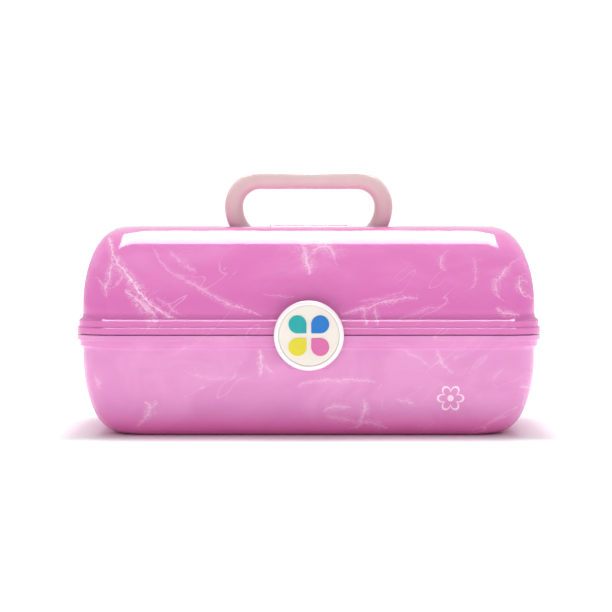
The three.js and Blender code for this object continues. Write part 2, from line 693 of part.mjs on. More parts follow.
addPart(latch, "latch_disc", latchDisc(), WHITE);

const latchPinHalf = LATCH_KNUCKLE_HALF + HINGE_CLEAR + LATCH_LUG_THICK;
addPart(
  base,
  "latch_pin",
  cylinderX(LATCH_PIN_R, -latchPinHalf, latchPinHalf, LATCH_AXIS_Y, LATCH_AXIS_Z),
  STEEL,
);

addPart(
  latch,
  "badge_disc",
  solidOf(
    discAbout(
      [
        [0, latchFaceY],
        [badgeR - SEATED, latchFaceY],
        [badgeR - SEATED, latchFaceY + BADGE_THICK - SEATED],
        [0, latchFaceY + BADGE_THICK - SEATED],
      ],
      40,
    ),
  ),
  BADGE_WHITE,
);

// Four equal round heads, a quarter turn apart, that keep PETAL_GAP from each other.
const petalReach = badgeR - PETAL_MARGIN;
const petalR = (petalReach * Math.SQRT1_2 - PETAL_GAP / 2) / (1 + Math.SQRT1_2);

// A petal: a round head with a point towards the badge's centre.
function petalOutline(angle) {
  const head = petalReach - petalR;
  const swing = Math.acos(petalR / (head - PETAL_TIP));
  const outline = new THREE.Shape();
  const place = (along, across) => [
    along * Math.cos(angle) - across * Math.sin(angle),
    along * Math.sin(angle) + across * Math.cos(angle),
  ];
  outline.moveTo(...place(PETAL_TIP, 0));
  const start = angle + Math.PI + swing;
  const end = angle + Math.PI - swing + Math.PI * 2;
  outline.absarc(...place(head, 0), petalR, start, end);
  outline.closePath();
  return outline;
}

const PETALS = { teal: 135, blue: 45, pink: -45, yellow: -135 };
for (const [colour, degrees] of Object.entries(PETALS)) {
  const flat = extrude(petalOutline(THREE.MathUtils.degToRad(degrees)), PETAL_THICK, 8);
  const petal = flat.applyMatrix4(IN_XZ).translate(0, latchFaceY - SEATED, SEAM_Z);
  addPart(latch, `badge_petal_${colour}`, petal, PETAL_COLOURS[colour]);
}

// ---------------------------------------------------------------- tray
const trayInnerX = TRAY_HALF_WIDTH - TRAY_WALL;
const trayInnerY = [TRAY_FRONT_Y + TRAY_WALL, TRAY_BACK_Y - TRAY_WALL];
const trayFloorZ = TRAY_TOP_Z - TRAY_HEIGHT + TRAY_WALL;
const longDividerFront = trayInnerY[0] + FRONT_BIN_DEPTH;
const longDividerBack = longDividerFront + DIVIDER_THICK;
const crossRows = {
  front: { bins: FRONT_BINS, inner: longDividerFront - RUNNING, wall: trayInnerY[0], outward: -1 },
  rear: { bins: REAR_BINS, inner: longDividerBack + RUNNING, wall: trayInnerY[1], outward: 1 },
};

// Where the dividers of a row of equal bins start along X.
function dividerStarts(bins) {
  const binWidth = (2 * trayInnerX - DIVIDER_THICK * (bins - 1)) / bins;
  const pitch = binWidth + DIVIDER_THICK;
  return Array.from({ length: bins - 1 }, (_, i) => -trayInnerX + binWidth + i * pitch);
}

// A box for each divider, by name. The long one spans the tray from end to end, and the rest run from it
// to the front or back wall. They enter the tray's walls by `reach`, and have `spare` added each side.
function dividerBoxes(reach, spare, lowZ, highZ) {
  const long = boxBetween(
    -trayInnerX - reach,
    trayInnerX + reach,
    longDividerFront - spare,
    longDividerBack + spare,
    lowZ,
    highZ,
  );
  const boxes = { tray_divider_long: long };
  for (const [row, { bins, inner, wall, outward }] of Object.entries(crossRows)) {
    const ends = [inner, wall + outward * reach].sort((one, other) => one - other);
    dividerStarts(bins).forEach((start, i) => {
      const sides = [start - spare, start + DIVIDER_THICK + spare];
      boxes[`tray_divider_${row}_${i + 1}`] = boxBetween(...sides, ...ends, lowZ, highZ);
    });
  }
  return boxes;
}

function trayShell() {
  const x = TRAY_HALF_WIDTH;
  const bottomZ = TRAY_TOP_Z - TRAY_HEIGHT;
  const openZ = TRAY_TOP_Z + OVERRUN;
  const block = roundedBox(-x, x, TRAY_FRONT_Y, TRAY_BACK_Y, bottomZ, TRAY_TOP_Z, TRAY_CORNER_R);
  const well = roundedBox(-trayInnerX, trayInnerX, ...trayInnerY, trayFloorZ, openZ, BIN_CORNER_R);
  const grooves = Object.values(dividerBoxes(DIVIDER_GROOVE, RUNNING, trayFloorZ, openZ));
  let body = cutBy(solidOf(block), solidOf(well), ...grooves.map(solidOf));
  for (const side of Object.values(SIDES)) {
    const inner = side * (x - TRAY_WALL);
    const ear = solidOf(cylinderX(EAR_R, inner, side * x, LID_PIVOT.y, LID_PIVOT.z));
    const bossEnd = side * (x + TRAY_BOSS_LENGTH);
    const boss = solidOf(cylinderX(BOSS_R, inner, bossEnd, TRAY_PIVOT.y, TRAY_PIVOT.z));
    const through = [inner - side * OVERRUN, bossEnd + side * OVERRUN];
    const bores = [LID_PIVOT, TRAY_PIVOT].map((pivot) => boreFor(pivot, ...through, PIVOT_R));
    body = cutBy(joined(body, ear, boss), ...bores);
  }
  return body;
}

addPart(tray, "tray", trayShell(), TRAY_PINK);

const dividerEnds = [trayFloorZ + SEATED, TRAY_TOP_Z - DIVIDER_DROP];
const dividers = dividerBoxes(DIVIDER_GROOVE - RUNNING, 0, ...dividerEnds);
for (const [name, divider] of Object.entries(dividers)) {
  addPart(tray, name, divider, TRAY_PINK);
}

// ---------------------------------------------------------------- arms and their rivets
// A pin along X with a round head at its first end.
function rivet(pivot, headX, tipX) {
  const way = Math.sign(tipX - headX);
  const head = cylinderX(RIVET_HEAD_R, headX, headX + way * RIVET_HEAD_THICK, pivot.y, pivot.z);
  const shank = cylinderX(PIVOT_R, headX, tipX, pivot.y, pivot.z);
  return joined(solidOf(head), solidOf(shank));
}

for (const [side, way] of Object.entries(SIDES)) {
  const armStart = way * ARM_X;
  const armEnd = way * (ARM_X + ARM_THICK);
  const outline = linkOutline(BASE_PIVOT, TRAY_PIVOT, ARM_HALF_WIDTH, PIVOT_R + RUNNING);
  addPart(arms, `arm_${side}`, plateX(outline, armStart, armEnd, 6), BASE_PINK);

  const insideHead = armStart - way * (RIVET_HEAD_THICK + RUNNING);
  const baseTip = way * (BASE_BOSS_X + BORE_DEPTH - BORE_END);
  addPart(base, `arm_base_rivet_${side}`, rivet(BASE_PIVOT, insideHead, baseTip), STEEL);

  const outsideHead = armEnd + way * (RIVET_HEAD_THICK + RUNNING);
  const trayTip = way * (TRAY_HALF_WIDTH - TRAY_WALL + RUNNING);
  addPart(tray, `arm_tray_rivet_${side}`, rivet(TRAY_PIVOT, outsideHead, trayTip), STEEL);

  const pinEnds = [trayTip, way * (LID_BOSS_X + BORE_DEPTH - BORE_END)];
  const lidPin = cylinderX(PIVOT_R, ...pinEnds, LID_PIVOT.y, LID_PIVOT.z);
  addPart(lid, `lid_tray_pin_${side}`, lidPin, STEEL);
}

// ---------------------------------------------------------------- mirror
// A plate with round corners, set in from the frame's outline all round.
function mirrorPlate(inset, lowZ, highZ, r) {
  const x = MIRROR_HALF_WIDTH - inset;
  return roundedBox(-x, x, MIRROR_FRONT_Y + inset, MIRROR_BACK_Y - inset, lowZ, highZ, r);
}

function mirrorFrame() {
  const lowZ = MIRROR_TOP_Z - MIRROR_THICK;
  const seatTopZ = MIRROR_TOP_Z - MIRROR_BACK;
  const plate = mirrorPlate(0, lowZ, MIRROR_TOP_Z, MIRROR_CORNER_R);
  const opening = mirrorPlate(MIRROR_BORDER + MIRROR_LIP, lowZ - OVERRUN, seatTopZ, GLASS_CORNER_R);
  const seat = mirrorPlate(MIRROR_BORDER, lowZ + MIRROR_LIP, seatTopZ, GLASS_CORNER_R);
  const studs = Object.values(SIDES).map((side) => {
    const inner = side * (MIRROR_HALF_WIDTH - MIRROR_BORDER / 2);
    const tip = side * (MIRROR_HALF_WIDTH + MIRROR_STUD_LENGTH);
    return solidOf(cylinderX(MIRROR_STUD_R, inner, tip, MIRROR_AXIS_Y, MIRROR_AXIS_Z));
  });
  return joined(cutBy(solidOf(plate), solidOf(opening), solidOf(seat)), ...studs);
}

addPart(mirror, "mirror_frame", mirrorFrame(), TRAY_PINK);

const glassLowZ = MIRROR_TOP_Z - MIRROR_THICK + MIRROR_LIP + SEATED;
addPart(
  mirror,
  "mirror_glass",
  mirrorPlate(MIRROR_BORDER + RUNNING, glassLowZ, glassLowZ + GLASS_THICK, GLASS_CORNER_R),
  MIRROR_GLASS,
);

export default trainCase;
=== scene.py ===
"""The looks of a makeup train case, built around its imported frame: marbled pink tub and domed lid, ivory
loop handle, round white latch with a flower badge, and inside it the tray, its arms and the mirror.
Shapes are written in millimetres and made in metres. X runs left to right, the front faces -Y, Z is up.
"""
import json
import math

import bmesh
import bpy
from mathutils import Matrix, Vector
from mathutils.geometry import tessellate_polygon


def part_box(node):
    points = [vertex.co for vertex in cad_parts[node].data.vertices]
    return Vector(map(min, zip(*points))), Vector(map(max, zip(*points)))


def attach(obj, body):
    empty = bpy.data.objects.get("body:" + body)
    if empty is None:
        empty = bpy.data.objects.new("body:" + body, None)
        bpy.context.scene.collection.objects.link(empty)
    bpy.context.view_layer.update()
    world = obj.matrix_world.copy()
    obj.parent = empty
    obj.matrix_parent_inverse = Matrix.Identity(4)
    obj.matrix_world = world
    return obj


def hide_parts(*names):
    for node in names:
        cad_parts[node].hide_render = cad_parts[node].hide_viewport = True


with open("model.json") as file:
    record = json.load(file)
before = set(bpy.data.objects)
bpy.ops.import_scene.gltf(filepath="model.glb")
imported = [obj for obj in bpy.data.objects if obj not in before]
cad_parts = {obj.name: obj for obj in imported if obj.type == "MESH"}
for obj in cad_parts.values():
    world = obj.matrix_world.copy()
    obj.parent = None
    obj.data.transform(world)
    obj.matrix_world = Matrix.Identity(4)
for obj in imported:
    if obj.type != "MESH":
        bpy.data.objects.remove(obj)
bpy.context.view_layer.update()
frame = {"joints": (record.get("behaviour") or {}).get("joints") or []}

MM = 0.001
QUARTER = math.pi / 2
SIDES = {"left": -1, "right": 1}


# ---------------- what the frame says
def node_box(node):
    return [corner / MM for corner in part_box(node)]


def pivot(joint_name):
    """(y, z) of a joint's axis."""
    joint = next(j for j in frame["joints"] if j["name"] == joint_name)
    return joint["pos_m"][1] / MM, joint["pos_m"][2] / MM


LID_LOW, LID_HIGH = node_box("lid_shell")
HINGE_Y, SEAM_Z = pivot("lid_hinge")
HANDLE_AXIS_Z = pivot("handle_fold")[1]
LATCH_AXIS = pivot("latch_swing")
MIRROR_AXIS = pivot("mirror_tilt")
BASE_PIVOT = pivot("arm_left_pivot")
TRAY_PIVOT = pivot("tray_pivot")

# Rim bands: how far they stand out from the wall, and their heights from the seam.
BEAD_OUT = 4.0
BASE_STEP_OUT = 2.2
BASE_LEDGE_IN = 0.6
LID_STEP_OUT = 2.9
SEAM_HALF_GAP = 0.3
BASE_BEAD_HEIGHT = 3.9
BASE_STEP_HEIGHT = 4.4
BASE_FILLET_HEIGHT = 3.4
LID_BEAD_HEIGHT = 5.0
LID_STEP_HEIGHT = 5.4
LID_FILLET_HEIGHT = 4.6
TONGUE_OUT = -3.0
TONGUE_IN = -4.6
TONGUE_HEIGHT = 2.6

WALL = 2.5
WALL_X = LID_HIGH.x - BEAD_OUT
WALL_Y = -LID_LOW.y - BEAD_OUT
BRIDGE_PROUD = 1.0
CROWN_Z = LID_HIGH.z - BRIDGE_PROUD
BASE_TOP_Z = SEAM_Z - SEAM_HALF_GAP
LID_BOTTOM_Z = SEAM_Z + SEAM_HALF_GAP
BASE_SHOULDER_Z = BASE_TOP_Z - BASE_BEAD_HEIGHT - BASE_STEP_HEIGHT - BASE_FILLET_HEIGHT
LID_SHOULDER_Z = LID_BOTTOM_Z + LID_BEAD_HEIGHT + LID_STEP_HEIGHT + LID_FILLET_HEIGHT

# Walls: how far they curve in, and their corner radii seen from above.
BOTTOM_INSET = 27.0
LID_END_INSET = 27.5
LID_FACE_INSET = 50.0
CURVE_POWER = 2.2
CORNER_R = 22.0
BOTTOM_CORNER_R = 24.0
CROWN_CORNER_R = 30.0

CORNER_STEPS = 12
SIDE_STEPS = 12
WALL_STEPS = 36
ROUND_STEPS = 5
HALVINGS = 30
BORE_CLEAR = 0.3


# ---------------- outlines
def rounded_rect(a, b, r, z=0.0, y=0.0):
    """A rounded rectangle of half sizes a and b, anticlockwise from above, always of the same count."""
    corners = []
    for quarter, (cx, cy) in enumerate(((1, 1), (-1, 1), (-1, -1), (1, -1))):
        centre = (cx * (a - r), y + cy * (b - r))
        corner = arc(centre, r, 90 * quarter, 90 * (quarter + 1), CORNER_STEPS)
        corners.append([Vector((p.x, p.y, z)) for p in corner])
    points = []
    for corner, following in zip(corners, corners[1:] + corners[:1]):
        points += corner
        points += [corner[-1].lerp(following[0], i / SIDE_STEPS) for i in range(1, SIDE_STEPS)]
    return points


def filleted(corners, steps=5):
    """The line through corners (u, v, radius), with each inner corner rounded by its radius."""
    points = [Vector(corners[0][:2])]
    for before, (u, v, radius), after in zip(corners, corners[1:], corners[2:]):
        corner = Vector((u, v))
        back = (Vector(before[:2]) - corner).normalized()
        ahead = (Vector(after[:2]) - corner).normalized()
        if radius == 0:
            points.append(corner)
            continue
        half = back.angle(ahead) / 2
        reach = radius / math.tan(half)
        centre = corner + (back + ahead).normalized() * (radius / math.sin(half))
        start = corner + back * reach - centre
        swing = start.angle_signed(corner + ahead * reach - centre)
        for i in range(steps + 1):
            points.append(centre + Matrix.Rotation(-swing * i / steps, 2) @ start)
    points.append(Vector(corners[-1][:2]))
    return points


def arc(centre, radius, start, end, steps):
    """Points (u, v) on an arc, in degrees."""
    turns = [math.radians(start + (end - start) * i / steps) for i in range(steps + 1)]
    return [Vector((centre[0] + radius * math.cos(t), centre[1] + radius * math.sin(t))) for t in turns]


def quarter_round(radius, steps=ROUND_STEPS):
    """(inset, rise) of each step of a rounded edge, from its flat end to its upright one."""
    turns = [QUARTER * i / steps for i in range(steps + 1)]
    return [(radius * (1 - math.sin(t)), radius * (1 - math.cos(t))) for t in turns]


def inset_loop(loop, distance):
    """A loop of (u, v) moved to its left, which is into the material."""
    moved = []
    for i, point in enumerate(loop):
        ahead = (loop[(i + 1) % len(loop)] - point).normalized()
        behind = (point - loop[i - 1]).normalized()
        left = Vector((-ahead.y, ahead.x)) + Vector((-behind.y, behind.x))
        moved.append(point + left * (distance / (1 + ahead.dot(behind))))
    return moved


# ---------------- solids
class Solid:
    """The points, in millimetres, and faces of one piece, gathered one closed body at a time."""

    def __init__(self):
        self.points = []
        self.faces = []

    def loft(self, rings):
        """A skin through rings of equal count, capped at both ends."""
        count = len(rings[0])
        start = len(self.points)
        last = start + (len(rings) - 1) * count
        self.points += [point for ring in rings for point in ring]
        for low in range(start, last, count):
            high = low + count
            for i in range(count):
                j = (i + 1) % count
                self.faces.append((low + i, low + j, high + j, high + i))
        self.faces.append(tuple(range(start, start + count))[::-1])
        self.faces.append(tuple(range(last, last + count)))
        return self

    def plate(self, loops, low, high, place, edge=0.4, steps=3):
        """A plate between two stations, with round edges. The first loop is its outline and the rest are
        holes, clockwise. place(u, v, station) gives a point."""
        levels = [(inset, low + rise) for inset, rise in quarter_round(edge, steps)]
        levels += [(inset, low + high - station) for inset, station in reversed(levels)]
        ends = [[], []]
        for loop in loops:
            start = len(self.points)
            count = len(loop)
            for inset, station in levels:
                self.points += [place(p.x, p.y, station) for p in inset_loop(loop, inset)]
            for level in range(len(levels) - 1):
                below = start + level * count
                for i in range(count):
                    a, b = below + i, below + (i + 1) % count
                    self.faces.append((a, b, b + count, a + count))
            last = start + (len(levels) - 1) * count
            ends[0] += range(start, start + count)
            ends[1] += range(last, last + count)
        flat = [[p.to_3d() for p in inset_loop(loop, edge)] for loop in loops]
        for triangle in tessellate_polygon(flat):
            for end in ends:
                self.faces.append(tuple(end[i] for i in triangle))
        return self

    def lathe(self, profile, place, sides=96):
        """A body turned from (radius, station) points whose ends lie on the axis."""
        rings = []
        for radius, station in profile[1:-1]:
            turns = [math.tau * i / sides for i in range(sides)]
            rings.append([place(radius * math.cos(t), radius * math.sin(t), station) for t in turns])
        return self.loft(rings)


def along_x(u, v, station):
    """An outline in YZ, with stations along X."""
    return Vector((station, u, v))


def along_y(u, v, station):
    """An outline in XZ, with stations along Y."""
    return Vector((u, station, v))


def along_z(u, v, station):
    return Vector((u, v, station))


def about(axis, place=along_x):
    """A placement whose outlines are drawn about a pivot (u, v)."""
    return lambda u, v, station: place(axis[0] + u, axis[1] + v, station)


def add_piece(name, solid, body, material, replaces=(), crease=38):
    """Makes a solid an object in metres, with smooth faces and creases where it turns sharply."""
    mesh = bpy.data.meshes.new(name)
    mesh.from_pydata([point * MM for point in solid.points], [], solid.faces)
    work = bmesh.new()
    work.from_mesh(mesh)
    bmesh.ops.remove_doubles(work, verts=work.verts, dist=1e-7)
    bmesh.ops.recalc_face_normals(work, faces=work.faces)
    work.to_mesh(mesh)
    work.free()
    mesh.shade_smooth()
    mesh.set_sharp_from_angle(angle=math.radians(crease))
    mesh.materials.append(material)
    piece = bpy.data.objects.new(name, mesh)
    bpy.context.scene.collection.objects.link(piece)
    even = piece.modifiers.new("even_flats", "WEIGHTED_NORMAL")
    even.keep_sharp = True
    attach(piece, body)
    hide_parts(*(replaces or [name.removesuffix("_skin")]))
    return piece


# ---------------- node helpers
class Nodes:
    """A short way to write a node tree. Noise scales are per millimetre, as positions are."""

    def __init__(self, tree):
        self.tree = tree

    def add(self, kind, inputs=None, **settings):
        node = self.tree.nodes.new(kind)
        for name, value in settings.items():
            setattr(node, name, value)
        for name, value in (inputs or {}).items():
            self.feed(node.inputs[name], value)
        return node

    def feed(self, socket, value):
        if isinstance(value, bpy.types.NodeSocket):
            self.tree.links.new(value, socket)
        else:
            socket.default_value = value

    def math(self, operation, first, second=0.0, third=0.0, clamp=False):
        node = self.add("ShaderNodeMath", operation=operation, use_clamp=clamp)
        for socket, value in zip(node.inputs, (first, second, third)):
            self.feed(socket, value)
        return node.outputs[0]

    def vector(self, operation, first, second=(0, 0, 0), scale=1.0):
        node = self.add("ShaderNodeVectorMath", operation=operation)
        self.feed(node.inputs[0], first)
        if operation == "SCALE":
            self.feed(node.inputs["Scale"], scale)
        else:
            self.feed(node.inputs[1], second)
        return node.outputs[0]

    def noise(self, vector, scale, detail=2.0, rough=0.5, colour=False, distortion=0.0):
        inputs = {"Vector": vector, "Scale": scale, "Detail": detail, "Roughness": rough,
                  "Distortion": distortion}
        node = self.add("ShaderNodeTexNoise", inputs)
        return node.outputs["Color" if colour else "Fac"]

    def split(self, vector):
        """The X, Y and Z of a vector."""
        return self.add("ShaderNodeSeparateXYZ", {"Vector": vector}).outputs

    def ramp(self, value, low, high, to_low=0.0, to_high=1.0):
        """A smooth step between two values."""
        inputs = {"Value": value, "From Min": low, "From Max": high, "To Min": to_low,
                  "To Max": to_high}
        node = self.add("ShaderNodeMapRange", inputs, interpolation_type="SMOOTHSTEP")
        return node.outputs["Result"]

    def mix(self, factor, first, second):
        node = self.add("ShaderNodeMix", data_type="RGBA")
        self.feed(node.inputs[0], factor)
        self.feed(node.inputs[6], first)
        self.feed(node.inputs[7], second)
        return node.outputs[2]


def linear(red, green, blue):
    """An sRGB colour, 0 to 255, as linear RGBA."""
    parts = [c / 255 for c in (red, green, blue)]
    parts = [c / 12.92 if c <= 0.04045 else ((c + 0.055) / 1.055) ** 2.4 for c in parts]
    return (*parts, 1.0)


def new_material(name):
    """A material, its node writer, its shader and its object coordinates in millimetres."""
    material = bpy.data.materials.new(name)
    material.use_nodes = True
    nodes = Nodes(material.node_tree)
    shader = material.node_tree.nodes["Principled BSDF"]
    coords = nodes.add("ShaderNodeTexCoord").outputs["Object"]
    place = nodes.vector("SCALE", coords, scale=1 / MM)
    return material, nodes, shader, place


def add_bump(nodes, shader, height, distance):
    bump = nodes.add("ShaderNodeBump", {"Height": height, "Distance": distance * MM})
    nodes.feed(shader.inputs["Normal"], bump.outputs["Normal"])


# ---------------- marbled plastic
# Veins of the front face as (x, z) points, each with its half width in millimetres and its strength.
LID_VEINS = [
    ([(-143, 141), (-137, 128), (-123, 109), (-111, 95), (-92, 84)], 0.62, 1.0),
    ([(-139, 131), (-139, 121), (-144, 105)], 0.5, 0.8),
    ([(-138, 121), (-132, 114), (-146, 105)], 0.4, 0.55),
    ([(-153, 113), (-146, 110), (-142, 99)], 0.35, 0.6),
    ([(-129, 104), (-120, 97), (-112, 90)], 0.9, 0.75),
    ([(-118, 98), (-106, 86)], 1.3, 0.55),
    ([(-112, 137), (-102, 122), (-79, 107), (-60, 96), (-48, 92), (-32, 86)], 0.34, 0.62),
    ([(-98, 132), (-94, 127), (-78, 116)], 0.32, 0.5),
    ([(-108, 100), (-88, 86)], 0.28, 0.35),
    ([(-2, 135), (-1, 128), (0.5, 116)], 0.8, 0.9),
    ([(-7, 137), (-3, 133), (0, 126)], 1.5, 0.5),
    ([(11, 136), (16, 134), (19, 127)], 1.3, 0.45),
    ([(1, 126), (5, 133), (12, 134.5), (17, 131), (20, 122)], 0.75, 0.85),
    ([(-7, 136), (3, 136.5), (11, 135)], 0.4, 0.5),
    ([(23, 88), (41, 92), (58, 98), (76, 98.5)], 0.5, 0.6),
    ([(34, 96), (50, 99), (66, 103)], 0.26, 0.3),
    ([(39, 92), (40, 79)], 0.35, 0.6),
    ([(47, 92), (47, 79)], 0.35, 0.5),
    ([(94, 123), (96, 119), (101, 132)], 0.4, 0.45),
    ([(108, 104), (117, 113), (116, 127)], 0.35, 0.35),
    ([(150, 126), (137, 116), (132, 103), (142, 96)], 0.45, 0.7),
    ([(148, 112), (156, 115), (159, 98)], 0.5, 0.7),
    ([(146, 107), (152, 111), (156, 104)], 0.35, 0.45),
    ([(131, 92), (139, 88), (149, 86)], 0.45, 0.6),
    ([(62, 84), (84, 91), (100, 95)], 0.3, 0.3),
    ([(-32, 101), (-10, 99)], 0.22, 0.35),
]
TUB_VEINS = [
    ([(-120, 26), (-113, 21), (-123, 8)], 0.5, 0.75),
    ([(-107, 25), (-113, 20)], 0.4, 0.55),
    ([(-35, 62), (-34, 49), (-36, 44)], 0.5, 0.75),
    ([(-33, 52), (-24, 45)], 0.3, 0.4),
    ([(90, 64), (91, 57), (101, 46)], 0.4, 0.6),
    ([(68, 63), (85, 50)], 0.3, 0.45),
    ([(-8, 37), (23, 41), (48, 40)], 0.35, 0.5),
    ([(60, 28), (75, 24)], 0.35, 0.5),
    ([(10, 17), (21, 22), (30, 20)], 0.45, 0.55),
    ([(39, 28), (37, 12), (28, 5)], 0.45, 0.6),
    ([(37, 12), (56, 5)], 0.35, 0.5),
    ([(12, 15), (36, 11)], 0.3, 0.45),
    ([(-152, 45), (-146, 34)], 0.3, 0.4),
    ([(148, 36), (157, 34)], 0.4, 0.5),
    ([(-90, 50), (-64, 42), (-50, 44)], 0.25, 0.3),
]
VEIN_TAPER = 0.4
VEIN_FULLNESS = 1.35
VEIN_CORE = 1.5
VEIN_HALO = 11.0
NARROWEST_SPAN = 0.5
# The drawn veins are left out of a band about the case's middle plane, over the ends and the crown.
BAND_CLEAR, BAND_END = 10.0, 26.0


def vein_distance(nodes, x, z, points, half_width):
    """How many half widths away a point is from one vein, whose ends run out to nothing."""
    spans = [max(p[i] for p in points) - min(p[i] for p in points) for i in (0, 1)]
    main = 0 if spans[0] >= spans[1] else 1
    points = sorted(points, key=lambda p: p[main])
    steps = [b[main] - a[main] for a, b in zip(points, points[1:])]
    if min(steps) <= 0:
        raise ValueError("a vein doubles back")
    along, across = (x, z) if main == 0 else (z, x)
    low, high = points[0][main], points[-1][main]
    side_low = min(p[1 - main] for p in points)
    side_span = max(spans[1 - main], NARROWEST_SPAN)
    share = nodes.math("DIVIDE", nodes.math("SUBTRACT", along, low), high - low)
    line = nodes.add("ShaderNodeFloatCurve", {"Value": share})
    curve = line.mapping.curves[0]
    spots = [((p[main] - low) / (high - low), (p[1 - main] - side_low) / side_span) for p in points]
    curve.points[0].location = spots[0]
    curve.points[1].location = spots[-1]
    for spot in spots[1:-1]:
        curve.points.new(*spot)
    line.mapping.update()
    middle = nodes.math("MULTIPLY_ADD", line.outputs[0], side_span, side_low)
    slant = math.hypot(1.0, spans[1 - main] / spans[main])
    gap = nodes.math("ABSOLUTE", nodes.math("SUBTRACT", across, middle))
    to_end = nodes.math("ABSOLUTE", nodes.math("SUBTRACT", share, 0.5))
    taper = nodes.math("MAXIMUM", nodes.math("SUBTRACT", 0.5, to_end), 1e-9)
    full_width = half_width * slant * VEIN_FULLNESS
    width = nodes.math("MULTIPLY", nodes.math("POWER", taper, VEIN_TAPER), full_width)
    return nodes.math("DIVIDE", gap, width)


def shaken(nodes, place, moved, scale, detail, rough, reach):
    """A position moved about by a noise over place, by up to half of reach each way."""
    shake = nodes.noise(place, scale, detail, rough, colour=True)
    centred = nodes.vector("SUBTRACT", shake, (0.5, 0.5, 0.5))
    return nodes.vector("ADD", moved, nodes.vector("SCALE", centred, scale=reach))


def marble_veins(nodes, place, veins):
    """Strength of the drawn veins, 0 to 1, and a wide soft band about them."""
    bent = shaken(nodes, place, place, scale=0.075, detail=4.0, rough=0.62, reach=8.0)
    ragged = shaken(nodes, place, bent, scale=0.6, detail=3.0, rough=0.6, reach=1.1)
    parts = nodes.split(ragged)
    depth = nodes.split(place)["Y"]
    # The back wears the front's drawing, turned half round.
    facing = nodes.math("MULTIPLY", nodes.math("SIGN", depth), -1.0)
    x = nodes.math("MULTIPLY", parts["X"], facing)
    z = parts["Z"]
    core, halo = 0.0, 0.0
    for points, half_width, strength in veins:
        away = vein_distance(nodes, x, z, points, half_width)
        core = nodes.math("MAXIMUM", core, nodes.ramp(away, VEIN_CORE, 0.1, 0.0, strength))
        halo = nodes.math("MAXIMUM", halo, nodes.ramp(away, VEIN_HALO, 0.0, 0.0, strength))
    off_middle = nodes.ramp(nodes.math("ABSOLUTE", depth), BAND_CLEAR, BAND_END)
    return nodes.math("MULTIPLY", core, off_middle), nodes.math("MULTIPLY", halo, off_middle)


def ridge(nodes, place, scale, width, detail=3.0, distortion=0.0):
    """Thin lines where a noise passes its middle value."""
    value = nodes.noise(place, scale, detail, 0.55, distortion=distortion)
    away = nodes.math("ABSOLUTE", nodes.math("SUBTRACT", value, 0.5))
    return nodes.ramp(away, width, 0.0)


WISP_SLANT = 0.7
WISP_STRENGTH = 0.26
SPECK_STRENGTH = 0.22


def faint_wisps(nodes, place):
    """Sparse slanting wisps and specks, all over the plastic."""
    sparse = nodes.ramp(nodes.noise(place, 0.02, 1.0), 0.46, 0.66)
    slanted = nodes.add("ShaderNodeVectorRotate", {"Vector": place, "Angle": WISP_SLANT},
                        rotation_type="Y_AXIS").outputs[0]
    slanted = nodes.vector("MULTIPLY", slanted, (0.45, 1.0, 1.5))
    wisp = nodes.math("MULTIPLY", ridge(nodes, slanted, 0.03, 0.008, 2.0, 0.15), sparse)
    speck = nodes.ramp(nodes.noise(slanted, 0.4, 2.0), 0.68, 0.76, 0.0, SPECK_STRENGTH)
    return nodes.math("MULTIPLY_ADD", wisp, WISP_STRENGTH, nodes.math("MULTIPLY", speck, sparse))


FEATHER_STRENGTH = 0.75
HALO_SHARE = 0.16
VEIN_SHARE = 0.82
HALO_PINK = linear(244, 196, 226)
VEIN_WHITE = linear(250, 232, 243)
PRINT_WHITE = linear(248, 224, 238)


def marble_colour(nodes, place, deep, pale, veins, painted_low_shading):
    """Milky pink with whitish veins: drawn ones, feathers about them and faint wisps all over.
    painted_low_shading is (colour, height where it starts, height where it is full, its share there): a tone
    blended in towards the bottom, which is painted shade on the lid and painted pink bounce light on the tub."""
    core, halo = marble_veins(nodes, place, veins)
    stretched = nodes.vector("MULTIPLY", place, (1.0, 1.0, 1.7))
    feather = ridge(nodes, stretched, 0.24, 0.045, 4.0, 0.6)
    feathers = nodes.math("MULTIPLY", nodes.math("MULTIPLY", feather, halo), FEATHER_STRENGTH)
    patchy = nodes.ramp(nodes.noise(place, 0.33, 3.0), 0.3, 0.62, 0.45, 1.0)
    drawn = nodes.math("MULTIPLY", core, patchy)
    vein = nodes.math("MAXIMUM", drawn, feathers)
    vein = nodes.math("MAXIMUM", vein, faint_wisps(nodes, place), clamp=True)
    milk = nodes.ramp(nodes.noise(stretched, 0.018, 3.0, 0.6, distortion=1.2), 0.35, 0.75)
    body = nodes.mix(milk, deep, pale)
    # Painted light blended in by height: painted shade on the lid, painted pink bounce light on the tub.
    painted_tone, clear_z, full_z, share = painted_low_shading
    body = nodes.mix(nodes.ramp(nodes.split(place)["Z"], clear_z, full_z, 0.0, share), body, painted_tone)
    body = nodes.mix(nodes.math("MULTIPLY", halo, HALO_SHARE), body, HALO_PINK)
    return nodes.mix(nodes.math("MULTIPLY", vein, VEIN_SHARE), body, VEIN_WHITE)


def marbled_plastic(name, deep, pale, veins, painted_low_shading, print_at=None):
    """Glossy marbled plastic that lets a little light in, with a print at (x, z) if one is given."""
    material, nodes, shader, place = new_material(name)
    colour = marble_colour(nodes, place, deep, pale, veins, painted_low_shading)
    if print_at:
        colour = nodes.mix(blossom_print(nodes, place, print_at), colour, PRINT_WHITE)
    nodes.feed(shader.inputs["Base Color"], colour)
    smear = nodes.noise(place, 0.05, 3.0)
    nodes.feed(shader.inputs["Roughness"], nodes.ramp(smear, 0.3, 0.7, 0.08, 0.12))
    shader.inputs["IOR"].default_value = 1.47
    shader.inputs["Subsurface Weight"].default_value = 0.12
    shader.inputs["Subsurface Radius"].default_value = (1.0, 0.45, 0.7)
    shader.inputs["Subsurface Scale"].default_value = 2.5 * MM
    add_bump(nodes, shader, nodes.noise(place, 0.35, 1.0), 0.012)
    return material


